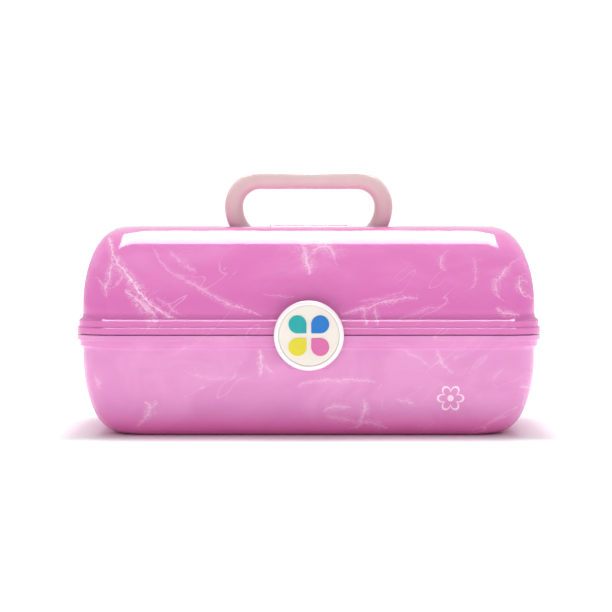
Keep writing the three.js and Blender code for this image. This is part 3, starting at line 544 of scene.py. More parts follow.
def blossom_print(nodes, place, at):
    """A small six-petalled outline with a round eye, printed on the front."""
    petal_reach = 9.0
    half_line = 0.75
    petals = 6
    eye_r = 2.3
    blur = 0.15
    opacity = 0.85
    parts = nodes.split(place)
    x = nodes.math("SUBTRACT", parts["X"], at[0])
    z = nodes.math("SUBTRACT", parts["Z"], at[1])
    radius = nodes.math("SQRT", nodes.math("ADD", nodes.math("POWER", x, 2), nodes.math("POWER", z, 2)))
    turn = nodes.math("ARCTAN2", z, x)
    wave = nodes.math("ABSOLUTE", nodes.math("COSINE", nodes.math("MULTIPLY", turn, petals / 2)))
    half = petal_reach / 2
    edge = nodes.math("MULTIPLY_ADD", nodes.math("POWER", wave, 0.7), half, half)
    rim = nodes.math("ABSOLUTE", nodes.math("SUBTRACT", radius, edge))
    outline = nodes.ramp(rim, half_line + blur, half_line - blur)
    eye = nodes.ramp(radius, eye_r + blur, eye_r - blur)
    front = nodes.math("LESS_THAN", parts["Y"], 0.0)
    shape = nodes.math("MAXIMUM", outline, eye)
    return nodes.math("MULTIPLY", shape, nodes.math("MULTIPLY", front, opacity))


# ---------------- other materials
def moulded_plastic(name, colour, shade, roughness, grain=0.02, grain_scale=1.2):
    """Plain moulded plastic: a slight unevenness of tone and a fine grain."""
    material, nodes, shader, place = new_material(name)
    tone = nodes.noise(place, 0.035, 4.0, 0.6)
    nodes.feed(shader.inputs["Base Color"], nodes.mix(nodes.ramp(tone, 0.3, 0.75), colour, shade))
    smear = nodes.noise(place, 0.12, 4.0, 0.6)
    low, high = roughness
    nodes.feed(shader.inputs["Roughness"], nodes.ramp(smear, 0.3, 0.7, low, high))
    add_bump(nodes, shader, nodes.noise(place, grain_scale, 3.0), grain)
    return material


def swirled_plastic(name):
    """The tray's pale pink: faint milky swirls under a satin skin."""
    material, nodes, shader, place = new_material(name)
    swirl = nodes.noise(place, 0.02, 2.0, 0.5, distortion=0.8)
    wisp = nodes.math("MULTIPLY", ridge(nodes, place, 0.03, 0.02, 3.0, 0.5), 0.22)
    body = nodes.mix(nodes.ramp(swirl, 0.3, 0.7), linear(238, 176, 212), linear(242, 188, 219))
    nodes.feed(shader.inputs["Base Color"], nodes.mix(wisp, body, linear(250, 225, 240)))
    nodes.feed(shader.inputs["Roughness"], nodes.ramp(nodes.noise(place, 0.2, 3.0), 0.3, 0.7, 0.26, 0.36))
    add_bump(nodes, shader, nodes.noise(place, 0.8, 2.0), 0.015)
    return material


def plated_steel():
    """Bright plated steel, turned, so that it is faintly ringed about X."""
    material, nodes, shader, place = new_material("plated_steel")
    rings = nodes.noise(nodes.vector("MULTIPLY", place, (14.0, 1.0, 1.0)), 0.5, 3.0)
    colour = nodes.mix(rings, linear(186, 187, 191), linear(222, 222, 226))
    nodes.feed(shader.inputs["Base Color"], colour)
    nodes.feed(shader.inputs["Roughness"], nodes.ramp(rings, 0.3, 0.7, 0.18, 0.32))
    shader.inputs["Metallic"].default_value = 1.0
    add_bump(nodes, shader, rings, 0.01)
    return material


def silvered_sheet():
    """The mirror, with the faint haze that a plastic mirror has."""
    material, nodes, shader, place = new_material("silvered_sheet")
    haze = nodes.noise(place, 0.02, 4.0, 0.6)
    nodes.feed(shader.inputs["Base Color"], nodes.mix(haze, linear(236, 240, 242), linear(226, 231, 235)))
    nodes.feed(shader.inputs["Roughness"], nodes.ramp(haze, 0.3, 0.8, 0.03, 0.09))
    shader.inputs["Metallic"].default_value = 1.0
    return material


PRINT_AT = (100.0, 28.0)
# Painted shade: the lid's colour darkens towards its rim.
LID_PAINTED_SHADE = (linear(208, 108, 175), 128.0, 84.0, 0.9)
# Painted light: the tub turns a brighter pink towards its foot, painted bounce light.
TUB_PAINTED_BOUNCE = (linear(248, 106, 190), 22.0, 0.0, 0.7)
LID_PLASTIC = marbled_plastic("lid_marble", linear(227, 126, 192), linear(233, 142, 203), LID_VEINS, LID_PAINTED_SHADE)
TUB_PLASTIC = marbled_plastic("tub_marble", linear(216, 136, 191), linear(223, 149, 200), TUB_VEINS,
                              TUB_PAINTED_BOUNCE, PRINT_AT)
IVORY = moulded_plastic("ivory", linear(229, 204, 202), linear(224, 195, 196), (0.3, 0.42))
WHITE = moulded_plastic("latch_white", linear(246, 240, 242), linear(241, 233, 236), (0.16, 0.24), 0.01)
BADGE = moulded_plastic("badge_white", linear(233, 227, 217), linear(228, 221, 210), (0.4, 0.5), 0.015)
# Each petal's direction in degrees, its ink and the ink's darker tone.
PETALS = {
    "teal": (135, linear(2, 163, 162), linear(4, 156, 156)),
    "blue": (45, linear(2, 118, 198), linear(4, 111, 190)),
    "pink": (-45, linear(215, 106, 166), linear(209, 100, 160)),
    "yellow": (-135, linear(222, 211, 40), linear(216, 204, 36)),
}
INK_ROUGHNESS = (0.35, 0.45)
TRAY_PLASTIC = swirled_plastic("tray_swirl")
STEEL = plated_steel()
MIRROR = silvered_sheet()


# ---------------- walls
def at_wall(offset, z):
    return rounded_rect(WALL_X + offset, WALL_Y + offset, CORNER_R + offset, z)


def curve_share(turn):
    """(inset, rise) shares on a wall's curve, from upright at 0 to flat at a quarter turn."""
    inset = 1 - max(math.cos(turn), 0.0) ** (2 / CURVE_POWER)
    return inset, math.sin(turn) ** (2 / CURVE_POWER)


def tub_curve(offset, floor_z):
    """Rings of the tub's wall from its shoulder down to where the floor is flat."""
    rings = []
    for i in range(WALL_STEPS + 1):
        inset, rise = curve_share(QUARTER * i / WALL_STEPS)
        rings.append(rounded_rect(
            WALL_X + offset - BOTTOM_INSET * inset,
            WALL_Y + offset - BOTTOM_INSET * inset,
            CORNER_R + offset + (BOTTOM_CORNER_R - CORNER_R) * inset,
            BASE_SHOULDER_Z - (BASE_SHOULDER_Z - floor_z) * rise,
        ))
    return rings


def lid_level(offset, inset):
    """Half sizes and corner radius of the lid where its wall has come in by a share of its inset."""
    return (
        WALL_X + offset - LID_END_INSET * inset,
        WALL_Y + offset - LID_FACE_INSET * inset,
        CORNER_R + offset + (CROWN_CORNER_R - CORNER_R) * inset,
    )


def lid_height(offset, roof_z, x, y):
    """Height of the lid's skin over a point, found by halving."""
    def outside(inset):
        a, b, r = lid_level(offset, inset)
        qx, qy = abs(x) - (a - r), abs(y) - (b - r)
        return math.hypot(max(qx, 0.0), max(qy, 0.0)) + min(max(qx, qy), 0.0) > r
    if not outside(1.0):
        return roof_z
    low, high = 0.0, 1.0
    for _ in range(HALVINGS):
        middle = (low + high) / 2
        low, high = (low, middle) if outside(middle) else (middle, high)
    rise = curve_share(math.acos((1 - low) ** (CURVE_POWER / 2)))[1]
    return LID_SHOULDER_Z + (roof_z - LID_SHOULDER_Z) * rise


# ---------------- handle's pocket, in the lid
HANDLE_HIGH = node_box("handle")[1]
GRIP_THICK_R = 6.7
GRIP_DEPTH_R = HANDLE_HIGH.y
GRIP_NOMINAL_R = 7.4
CLEAR_UNDER_GRIP = 1.2
CLEAR_ROUND_GRIP = 2.2
CLEAR_AT_ENDS = 4.0
POCKET_FLOOR_Z = HANDLE_AXIS_Z - GRIP_NOMINAL_R - CLEAR_UNDER_GRIP
POCKET_X = HANDLE_HIGH.x + CLEAR_AT_ENDS
POCKET_FRONT_Y = -GRIP_NOMINAL_R - CLEAR_ROUND_GRIP
POCKET_BACK_Y = HANDLE_HIGH.z - HANDLE_AXIS_Z + CLEAR_ROUND_GRIP
POCKET_MIDDLE_Y = (POCKET_FRONT_Y + POCKET_BACK_Y) / 2
POCKET_HALF_Y = (POCKET_BACK_Y - POCKET_FRONT_Y) / 2
POCKET_R = 15.0
POCKET_LIP = 1.3
POCKET_FLOOR_FILLET = 3.0
POCKET_UNDER_FILLET = 2.0
CROWN_MARGIN = 1.5
CROWN_ROWS = 16


def pocket_ring(grow, z=0.0):
    return rounded_rect(POCKET_X + grow, POCKET_HALF_Y + grow, POCKET_R + grow, z, POCKET_MIDDLE_Y)


def lid_skin(offset, roof_z, mouth_grow):
    """Rings from the shoulder, over the crown, to the mouth of a pocket grown by mouth_grow."""
    reach = POCKET_BACK_Y + mouth_grow + CROWN_MARGIN
    last_inset = (WALL_Y + offset - reach) / LID_FACE_INSET
    last_turn = math.acos((1 - last_inset) ** (CURVE_POWER / 2))
    rings = []
    for i in range(WALL_STEPS + 1):
        inset, rise = curve_share(last_turn * i / WALL_STEPS)
        rings.append(rounded_rect(*lid_level(offset, inset),
                                  LID_SHOULDER_Z + (roof_z - LID_SHOULDER_Z) * rise))
    edge, mouth = rings[-1], pocket_ring(mouth_grow)
    for row in range(1, CROWN_ROWS + 1):
        ring = []
        for start, end in zip(edge, mouth):
            point = start.lerp(end, row / CROWN_ROWS)
            ring.append(Vector((point.x, point.y, lid_height(offset, roof_z, point.x, point.y))))
        rings.append(ring)
    return rings


def lowered(ring, heights, drop):
    """A ring at the heights of another, less a drop."""
    return [Vector((p.x, p.y, h.z - drop)) for p, h in zip(ring, heights)]


def lid_outside():
    """Rings from the shoulder over the crown and down into the handle's pocket."""
    rings = lid_skin(0.0, CROWN_Z, POCKET_LIP)
    mouth = rings[-1]
    for grow, drop in quarter_round(POCKET_LIP)[1:]:
        rings.append(lowered(pocket_ring(grow), mouth, drop))
    for rise, inset in quarter_round(POCKET_FLOOR_FILLET):
        rings.append(pocket_ring(-inset, POCKET_FLOOR_Z + rise))
    return rings


def lid_inside():
    """Rings from the shoulder under the roof and down round the pocket's underside."""
    rings = lid_skin(-WALL, CROWN_Z - WALL, WALL + POCKET_UNDER_FILLET)
    mouth = rings[-1]
    fillet = quarter_round(POCKET_UNDER_FILLET)
    for grow, drop in fillet[1:]:
        rings.append(lowered(pocket_ring(WALL + grow), mouth, drop))
    for rise, inset in fillet:
        rings.append(pocket_ring(WALL - inset, POCKET_FLOOR_Z - WALL + rise))
    return rings


# How far a rim's sloped step goes in for each millimetre that it rises.
RIM_SLOPE = 1.21
LID_LEDGE_OUT = 0.9
LID_LEDGE_RISE = 0.6
BEAD_TOP_RISE = 0.2
LID_RIM_START = 1.0


def lid_rim():
    """(out, z) of the lid's rim from its inner lower edge up to the shoulder."""
    step_bottom = LID_BOTTOM_Z + LID_BEAD_HEIGHT
    ledge = LID_LEDGE_OUT
    ledge_z = step_bottom + LID_STEP_HEIGHT + LID_LEDGE_RISE
    slope_top = step_bottom + BEAD_TOP_RISE
    corners = [
        (-WALL, LID_SHOULDER_Z - LID_RIM_START, 0.0),
        (-WALL, LID_BOTTOM_Z, 0.35),
        (BEAD_OUT, LID_BOTTOM_Z, 0.45),
        (BEAD_OUT, slope_top - (BEAD_OUT - LID_STEP_OUT) / RIM_SLOPE, 0.3),
        (LID_STEP_OUT, slope_top, 0.1),
        (LID_STEP_OUT, ledge_z - (LID_STEP_OUT - ledge) / RIM_SLOPE, 0.4),
        (ledge, ledge_z, 0.0),
    ]
    return filleted(corners)[:-1] + fillet_sweep(ledge, ledge_z, LID_SHOULDER_Z)


def fillet_sweep(out, flat_z, wall_z, steps=8):
    """A hollow quarter ellipse from a flat ledge to where it meets the wall."""
    turns = [QUARTER * (1 - i / steps) for i in range(steps)]
    return [Vector((out * (1 - math.cos(t)), wall_z + (flat_z - wall_z) * math.sin(t))) for t in turns]


def rim_rings(profile):
    return [at_wall(out, z) for out, z in profile]


# ---------------- hinge knuckles, bosses and lugs
HINGE_PIN_LOW, HINGE_PIN_HIGH = node_box("hinge_pin_right")
HINGE_X = (HINGE_PIN_LOW.x + HINGE_PIN_HIGH.x) / 2
HINGE_HALF = (HINGE_PIN_HIGH.x - HINGE_PIN_LOW.x) / 2
HINGE_PIN_R = (HINGE_PIN_HIGH.z - HINGE_PIN_LOW.z) / 2
KNUCKLE_R = LID_HIGH.y - HINGE_Y
LID_KNUCKLE_HALF = 7.0
KNUCKLE_GAP = 0.5
KNUCKLE_ARM = 6.0


def circle(centre, radius, sides=40, way=1):
    """A whole circle: anticlockwise for way 1, clockwise for way -1."""
    return arc(centre, radius, 0, way * 360 * (sides - 1) / sides, sides - 1)


def circle_hole(centre, radius, sides=40):
    return circle(centre, radius, sides, -1)


def knuckle_outline(way):
    """A barrel with a tapered arm to the wall, above the seam for way 1 and below it for way -1."""
    wall_y = WALL_Y + BEAD_OUT / 2
    near = SEAM_Z + way * SEAM_HALF_GAP
    far = near + way * KNUCKLE_ARM
    across, up = wall_y - HINGE_Y, abs(far - SEAM_Z)
    toward = math.degrees(math.atan2(up, across))
    spread = math.degrees(math.acos(KNUCKLE_R / math.hypot(across, up)))
    first = 180 - math.degrees(math.asin(SEAM_HALF_GAP / KNUCKLE_R))
    barrel = arc((HINGE_Y, SEAM_Z), KNUCKLE_R, first, 360 + toward - spread, 30)
    points = [Vector((wall_y, near)), *barrel, Vector((wall_y, far))]
    if way > 0:
        return points
    flipped = [Vector((p.x, 2 * SEAM_Z - p.y)) for p in points]
    flipped[0], flipped[-1] = Vector((wall_y, near)), Vector((wall_y, far))
    return flipped[::-1]


def add_knuckles(solid, way):
    hole = circle_hole((HINGE_Y, SEAM_Z), HINGE_PIN_R + BORE_CLEAR)
    for station in (-HINGE_X, HINGE_X):
        if way > 0:
            spans = [(station - LID_KNUCKLE_HALF, station + LID_KNUCKLE_HALF)]
        else:
            inner = LID_KNUCKLE_HALF + KNUCKLE_GAP
            spans = [(station - HINGE_HALF, station - inner), (station + inner, station + HINGE_HALF)]
        for low, high in spans:
            solid.plate([knuckle_outline(way), hole], low, high, along_x, 0.45)


def add_boss(solid, axis, face_x, end_x):
    """A round boss that stands in from a wall, with a blind bore in its face."""
    way = math.copysign(1.0, end_x - face_x)
    bore_r = PIVOT_R + BORE_CLEAR
    into_boss = [
        (0, BORE_DEPTH),
        (bore_r - BORE_BOTTOM_EDGE, BORE_DEPTH),
        (bore_r, BORE_DEPTH - BORE_BOTTOM_EDGE),
        (bore_r, BORE_MOUTH_EDGE),
        (bore_r + BORE_MOUTH_EDGE, 0),
        (BOSS_R - BOSS_EDGE, 0),
        (BOSS_R - BOSS_EDGE / 3, BOSS_EDGE / 3),
        (BOSS_R, BOSS_EDGE),
    ]
    profile = [(radius, face_x + way * depth) for radius, depth in into_boss]
    profile += [(BOSS_R, end_x), (0, end_x)]
    solid.lathe(profile, about(axis), 48)


LID_PIN_LOW, LID_PIN_HIGH = node_box("lid_tray_pin_right")
PIVOT_R = (LID_PIN_HIGH.z - LID_PIN_LOW.z) / 2
LID_PIVOT = ((LID_PIN_LOW.y + LID_PIN_HIGH.y) / 2, (LID_PIN_LOW.z + LID_PIN_HIGH.z) / 2)
BOSS_R = 5.5
BOSS_EDGE = 0.6
BORE_DEPTH = 4.5
BORE_BOTTOM_EDGE = 0.3
BORE_MOUTH_EDGE = 0.4
PIN_SHORT = 4.0
LID_BOSS_X = LID_PIN_HIGH.x - PIN_SHORT
BASE_BOSS_X = node_box("arm_base_rivet_right")[1].x - PIN_SHORT
MIRROR_LOW, MIRROR_HIGH = node_box("mirror_frame")
MIRROR_STUD_R = 2.2
MIRROR_STUD_LENGTH = 5.3
MIRROR_X = MIRROR_HIGH.x - MIRROR_STUD_LENGTH
MIRROR_LUG_R = 4.2
MIRROR_LUG_FLARE = 2.6
MIRROR_LUG_GAP = 0.6
MIRROR_LUG_THICK = 5.0
MIRROR_LUG_FRONT_DROP = 1.0


def add_mirror_lug(solid, way):
    """A lug that hangs from the lid's roof and holds one of the mirror's studs."""
    roof_z = CROWN_Z - WALL / 2
    low = way * (MIRROR_X + MIRROR_LUG_GAP)
    high = low + way * MIRROR_LUG_THICK
    half = MIRROR_LUG_R + MIRROR_LUG_FLARE
    back_z = lid_height(0.0, CROWN_Z, high, MIRROR_AXIS[0] + half) - WALL / 2
    outline = [
        *arc(MIRROR_AXIS, MIRROR_LUG_R, 180, 360, 20),
        Vector((MIRROR_AXIS[0] + half, back_z)),
        Vector((MIRROR_AXIS[0] - half, roof_z - MIRROR_LUG_FRONT_DROP)),
    ]
    hole = circle_hole(MIRROR_AXIS, MIRROR_STUD_R + BORE_CLEAR)
    solid.plate([outline, hole], min(low, high), max(low, high), along_x, 0.4)


BRIDGE_HALF_DEPTH = 6.7
BRIDGE_ARCH = 4.0
BRIDGE_HALF_LENGTH = 28.8
BRIDGE_SUNK = 1.0
BRIDGE_SIDES = 72
BRIDGE_BORE_DEPTH = 8.0
BRIDGE_END_EDGE = 0.9
TRUNNION_R = 2.9


def add_bridge(solid):
    """The block between the handle's ends: an arched bar with round ends and a bore for each trunnion."""
    shoulder = LID_HIGH.z - BRIDGE_ARCH - HANDLE_AXIS_Z
    foot = POCKET_FLOOR_Z - BRIDGE_SUNK - HANDLE_AXIS_Z

    def reach(turn):
        """How far the arched outline is from the axis in one direction."""
        u, v = math.cos(turn), math.sin(turn)
        low, high = 0.0, BRIDGE_HALF_LENGTH
        for _ in range(HALVINGS):
            middle = (low + high) / 2
            y, z = abs(middle * u), middle * v
            arch = shoulder + BRIDGE_ARCH * math.sqrt(max(1 - (y / BRIDGE_HALF_DEPTH) ** 2, 0.0))
            inside = y <= BRIDGE_HALF_DEPTH and foot <= z <= arch
            low, high = (middle, high) if inside else (low, middle)
        return low

    turns = [math.tau * i / BRIDGE_SIDES for i in range(BRIDGE_SIDES)]
    outline = [reach(t) for t in turns]
    bore = TRUNNION_R + BORE_CLEAR
    end = BRIDGE_HALF_LENGTH
    # Each station is an x, its share of the arched outline, and what is added to that.
    half = [
        (end - BRIDGE_BORE_DEPTH, 0.0, bore - BORE_BOTTOM_EDGE),
        (end - BRIDGE_BORE_DEPTH + BORE_BOTTOM_EDGE, 0.0, bore),
        (end - BORE_MOUTH_EDGE, 0.0, bore),
        (end, 0.0, bore + BORE_MOUTH_EDGE),
    ]
    half += [(end - back, 1.0, -inset) for inset, back in quarter_round(BRIDGE_END_EDGE)]
    stations = half + [(-x, share, more) for x, share, more in reversed(half)]
    rings = []
    for x, share, more in stations:
        radii = [far * share + more for far in outline]
        rings.append([
            Vector((x, r * math.cos(t), HANDLE_AXIS_Z + r * math.sin(t))) for r, t in zip(radii, turns)
        ])
    solid.loft(rings)


# ---------------- lid and tub
def build_lid():
    solid = Solid()
    rim = rim_rings(lid_rim())
    solid.loft(list(reversed(lid_inside())) + rim + lid_outside())
    add_bridge(solid)
    add_knuckles(solid, 1)
    for way in SIDES.values():
        add_boss(solid, LID_PIVOT, way * LID_BOSS_X, way * (WALL_X - WALL / 2))
        add_mirror_lug(solid, way)
    return solid


def tub_rim():
    """(out, z) of the tub's rim, from its shoulder up to the tongue and down inside."""
    step_top = BASE_TOP_Z - BASE_BEAD_HEIGHT
    step_bottom = step_top - BASE_STEP_HEIGHT
    ledge = BASE_STEP_OUT - BASE_LEDGE_IN
    tongue_top = SEAM_Z + TONGUE_HEIGHT
    outer = [
        (ledge, step_bottom, 0.0),
        (BASE_STEP_OUT, step_bottom, 0.55),
        (BASE_STEP_OUT, step_top, 0.25),
        (BEAD_OUT, step_top, 0.6),
        (BEAD_OUT, BASE_TOP_Z, 0.6),
        (TONGUE_OUT, BASE_TOP_Z, 0.2),
        (TONGUE_OUT, tongue_top, 0.4),
        (TONGUE_IN, tongue_top, 0.4),
        (TONGUE_IN, step_bottom, 0.6),
        (-WALL, BASE_SHOULDER_Z, 0.0),
    ]
    rise = fillet_sweep(ledge, step_bottom, BASE_SHOULDER_Z)
    return rise[::-1] + filleted(outer)[1:-1]


FOOT_BAND = 9.0
FOOT_RECESS = 0.9
FOOT_CORNER_R = 16.0
FOOT_SLOPE = 1.0
LUG_R = 2.5
LUG_FLARE = 1.6
LUG_THICK = 3.0
LATCH_KNUCKLE_HALF = 9.0
LATCH_PIN_LOW, LATCH_PIN_HIGH = node_box("latch_pin")
LATCH_PIN_R = (LATCH_PIN_HIGH.z - LATCH_PIN_LOW.z) / 2


def foot_ring(slope, z):
    inset = BOTTOM_INSET + FOOT_BAND + slope
    return rounded_rect(WALL_X - inset, WALL_Y - inset, FOOT_CORNER_R - slope, z)


def add_latch_lug(solid, way):
    """A lug on the tub's front that holds one end of the latch's pin."""
    low = way * (LATCH_KNUCKLE_HALF + KNUCKLE_GAP)
    high = low + way * LUG_THICK
    wall_y = -(WALL_Y - WALL / 2)
    half = LUG_R + LUG_FLARE
    outline = [
        *arc(LATCH_AXIS, LUG_R, 90, 270, 20),
        Vector((wall_y, LATCH_AXIS[1] - half)),
        Vector((wall_y, LATCH_AXIS[1] + half)),
    ]
    hole = circle_hole(LATCH_AXIS, LATCH_PIN_R + BORE_CLEAR, 24)
    solid.plate([outline, hole], min(low, high), max(low, high), along_x, 0.35)


def build_tub():
    solid = Solid()
    foot = [foot_ring(FOOT_SLOPE, FOOT_RECESS), foot_ring(0.0, 0.0)]
    outside = tub_curve(0.0, 0.0)[::-1]
    inside = tub_curve(-WALL, WALL)
    solid.loft(foot + outside + rim_rings(tub_rim()) + inside)
    add_knuckles(solid, -1)
    for way in SIDES.values():
        add_boss(solid, BASE_PIVOT, way * BASE_BOSS_X, way * (WALL_X - WALL / 2))
        add_latch_lug(solid, way)
    return solid


# ---------------- handle
HANDLE_SIDES = 40
BEND_STEPS = 22
BAR_STEPS = 22
THUMB_DIP = 0.7
THUMB_HALF = 30.0
GRIP_POWER = 2.35
HANDLE_BEND_R = 19.8
HANDLE_END_R = 6.2
HANDLE_END_GAP = 0.5
HANDLE_END_EDGE = 1.2
HANDLE_END_LENGTH = 1.4
TRUNNION_LENGTH = 7.5
TRUNNION_EDGE = 0.4


def handle_sections():
    """Sections (x, z, turn, thick, deep) along one half of the loop, from the trunnion to the middle."""
    loop_half = HANDLE_HIGH.x - GRIP_THICK_R
    loop_height = HANDLE_HIGH.z - GRIP_THICK_R - HANDLE_AXIS_Z
    foot_r = loop_height - HANDLE_BEND_R
    foot_x, bend_x = loop_half - foot_r, loop_half - HANDLE_BEND_R
    end_x = BRIDGE_HALF_LENGTH + HANDLE_END_GAP
    tip_x = end_x - TRUNNION_LENGTH
    rounds = [
        (tip_x, TRUNNION_R - TRUNNION_EDGE),
        (tip_x + TRUNNION_EDGE, TRUNNION_R),
        (end_x, TRUNNION_R),
        *((end_x + out, HANDLE_END_R - inset) for inset, out in quarter_round(HANDLE_END_EDGE)),
    ]
    sections = [(x, 0.0, 0.0, radius, radius) for x, radius in rounds]
    start = math.asin((end_x + HANDLE_END_LENGTH - foot_x) / foot_r)
    for i in range(BEND_STEPS + 1):
        share = i / BEND_STEPS
        turn = start + (QUARTER - start) * share
        ease = share * share * (3 - 2 * share)
        sections.append((
            foot_x + foot_r * math.sin(turn),
            foot_r * (1 - math.cos(turn)) * (turn - start * (1 - share)) / turn,
            turn,
            HANDLE_END_R + (GRIP_THICK_R - HANDLE_END_R) * ease,
            HANDLE_END_R + (GRIP_DEPTH_R - HANDLE_END_R) * ease,
        ))
    for i in range(1, BEND_STEPS + 1):
        turn = QUARTER * (1 + i / BEND_STEPS)
        x = bend_x + HANDLE_BEND_R * math.sin(turn)
        z = loop_height - HANDLE_BEND_R * (1 + math.cos(turn))
        sections.append((x, z, turn, GRIP_THICK_R, GRIP_DEPTH_R))
    for i in range(1, BAR_STEPS + 1):
        x = bend_x * (1 - i / BAR_STEPS)
        sections.append((x, loop_height, math.pi, GRIP_THICK_R, GRIP_DEPTH_R))
    return sections


def handle_ring(x, z, turn, thick, deep):
    """A section's outline: a circle on the trunnion, elsewhere a fuller oval with a dip for the thumb."""
    centre = Vector((x, 0.0, z + HANDLE_AXIS_Z))
    out = Vector((math.sin(turn), 0.0, -math.cos(turn)))
    dip = THUMB_DIP * (0.5 + 0.5 * math.cos(math.pi * min(abs(x) / THUMB_HALF, 1.0)))
    if z < HANDLE_HIGH.z - HANDLE_AXIS_Z - 2 * GRIP_THICK_R:
        dip = 0.0
    power = 2.0 if thick <= TRUNNION_R else GRIP_POWER
    ring = []
    for i in range(HANDLE_SIDES):
        angle = math.tau * i / HANDLE_SIDES
        c, s = math.cos(angle), math.sin(angle)
        u = math.copysign(abs(c) ** (2 / power), c) * thick - dip * max(c, 0.0)
        v = math.copysign(abs(s) ** (2 / power), s) * deep
        ring.append(centre + out * u + Vector((0.0, v, 0.0)))
    return ring


def build_handle():
    half = handle_sections()
    other = [(-x, z, math.tau - turn, thick, deep) for x, z, turn, thick, deep in half[-2::-1]]
    return Solid().loft([handle_ring(*section) for section in half + other])


# ---------------- latch
LATCH_R = node_box("latch_disc")[1].x
BADGE_LOW, BADGE_HIGH = node_box("badge_disc")
BADGE_R = BADGE_HIGH.x
FACE_Y = BADGE_LOW.y
LATCH_BACK_Y = FACE_Y + 5.0
BADGE_SINK = 1.3
NOSE_HALF = 14.0
NOSE_LOW_Z = LID_BOTTOM_Z + LID_BEAD_HEIGHT + LID_STEP_HEIGHT + 1.0
NOSE_TIP_Y = LATCH_BACK_Y + 1.5
NOSE_HEIGHT = 3.0
ROOT_DEPTH = 1.0
LATCH_SIDES = 128
ABOUT_LATCH = about((0.0, SEAM_Z), along_y)


def latch_bezel():
    """(radius, y) of the latch from the badge's seat, over its raised rim, to its back."""
    seat_r = BADGE_R + 0.15
    corners = [
        (seat_r, BADGE_SINK, 0.0),
        (seat_r, -0.25, 0.3),
        (seat_r + 0.5, -0.4, 1.2),
        (LATCH_R - 1.2, -0.3, 1.4),
        (LATCH_R, 0.9, 0.9),
        (LATCH_R, LATCH_BACK_Y - FACE_Y, 0.5),
        (LATCH_R - 2.0, LATCH_BACK_Y - FACE_Y, 0.0),
    ]
    flat = [(0, BADGE_SINK), (seat_r - 0.1, BADGE_SINK)]
    profile = [*flat, *filleted(corners), (0, LATCH_BACK_Y - FACE_Y)]
    return [(radius, FACE_Y + y) for radius, y in profile]


def build_latch():
    solid = Solid()
    solid.lathe(latch_bezel(), ABOUT_LATCH, LATCH_SIDES)
    root_y = LATCH_BACK_Y - ROOT_DEPTH
    knuckle = [
        *arc(LATCH_AXIS, LUG_R, -90, 90, 20),
        Vector((root_y, LATCH_AXIS[1] + LUG_R)),
        Vector((root_y, LATCH_AXIS[1] - LUG_R)),
    ]
    hole = circle_hole(LATCH_AXIS, LATCH_PIN_R + BORE_CLEAR, 24)
    solid.plate([knuckle, hole], -LATCH_KNUCKLE_HALF, LATCH_KNUCKLE_HALF, along_x, 0.35)
    nose = [
        Vector((root_y, NOSE_LOW_Z)),
        Vector((NOSE_TIP_Y - 0.7, NOSE_LOW_Z)),
        Vector((NOSE_TIP_Y, NOSE_LOW_Z + 0.9)),
        Vector((NOSE_TIP_Y, NOSE_LOW_Z + 1.8)),
        Vector((NOSE_TIP_Y - 0.9, NOSE_LOW_Z + NOSE_HEIGHT)),
        Vector((root_y, NOSE_LOW_Z + NOSE_HEIGHT)),
    ]
    solid.plate([nose], -NOSE_HALF, NOSE_HALF, along_x, 0.4)
    return solid


BADGE_DOME = 0.12
BADGE_THICK = 1.1
BADGE_EDGE = 0.6
DOME_STEPS = 8


def build_badge():
    """A thin disc with a faintly domed face and a rounded edge."""
    shares = [i / DOME_STEPS for i in range(DOME_STEPS + 1)]
    profile = [((BADGE_R - BADGE_EDGE) * s, -BADGE_DOME * (1 - s ** 2)) for s in shares]
    profile += [(BADGE_R - 0.15, 0.12), (BADGE_R, 0.45), (BADGE_R, BADGE_THICK), (0, BADGE_THICK)]
    return Solid().lathe([(radius, FACE_Y + y) for radius, y in profile], ABOUT_LATCH, LATCH_SIDES)


PETAL_MARGIN = 3.8
PETAL_GAP = 3.2
PETAL_TIP = 2.6
PETAL_TIP_R = 0.5
PETAL_PROUD = 0.6
PETAL_SUNK = 0.2


def petal_outline(degrees):
    """A round head with a point towards the badge's centre, in XZ about the centre."""
    reach = BADGE_R + 0.1 - PETAL_MARGIN
    radius = (reach * math.sqrt(0.5) - PETAL_GAP / 2) / (1 + math.sqrt(0.5))
    centre = reach - radius
    swing = math.degrees(math.acos(radius / (centre - PETAL_TIP)))
    head = arc((centre, 0), radius, swing - 180, 180 - swing, 40)
    tip = arc((PETAL_TIP + PETAL_TIP_R, 0), PETAL_TIP_R, 180 - swing, 180 + swing, 4)
    turn = Matrix.Rotation(math.radians(degrees), 2)
    return [turn @ p for p in head + tip]


def build_petal(degrees):
    outline = petal_outline(degrees)
    return Solid().plate([outline], FACE_Y - PETAL_PROUD, FACE_Y + PETAL_SUNK, ABOUT_LATCH, 0.25)


# ---------------- tray
TRAY_LOW, TRAY_HIGH = node_box("tray")
TRAY_WALL = 2.0
TRAY_BOSS_LENGTH = 2.1
TRAY_X = TRAY_HIGH.x - TRAY_BOSS_LENGTH
TRAY_FRONT_Y, TRAY_BACK_Y = TRAY_LOW.y, TRAY_HIGH.y
EAR_R = 6.5
EAR_ROOT = 4.0
EAR_PROUD = 0.15
BOSS_SUNK = 0.2
TRAY_ABOVE_SEAM = 13.0
TRAY_TOP_Z = SEAM_Z + TRAY_ABOVE_SEAM
TRAY_FLOOR_Z = TRAY_LOW.z + TRAY_WALL
TRAY_CORNER_R = 6.0
BIN_CORNER_R = 3.0
BIN_FLOOR_FILLET = 2.5
BIN_LIP = 0.6
TRAY_FOOT_R = 3.0
GUIDE_THICK = 1.0
GUIDE_REACH = 1.6
GUIDE_CLEAR = 0.3
GUIDE_ROOT = 0.6
GUIDE_BELOW_TOP = 1.6
HOLLOW_HALF = 24.0
HOLLOW_SHARE = 0.28
HOLLOW_DEPTH = 4.0
DIVIDER_CORNER_R = 2.0
DIP_STEPS = 24
LONG_DIVIDER = "tray_divider_long"
CROSS_DIVIDERS = {"front": (1, 2), "rear": (1, 2, 3)}


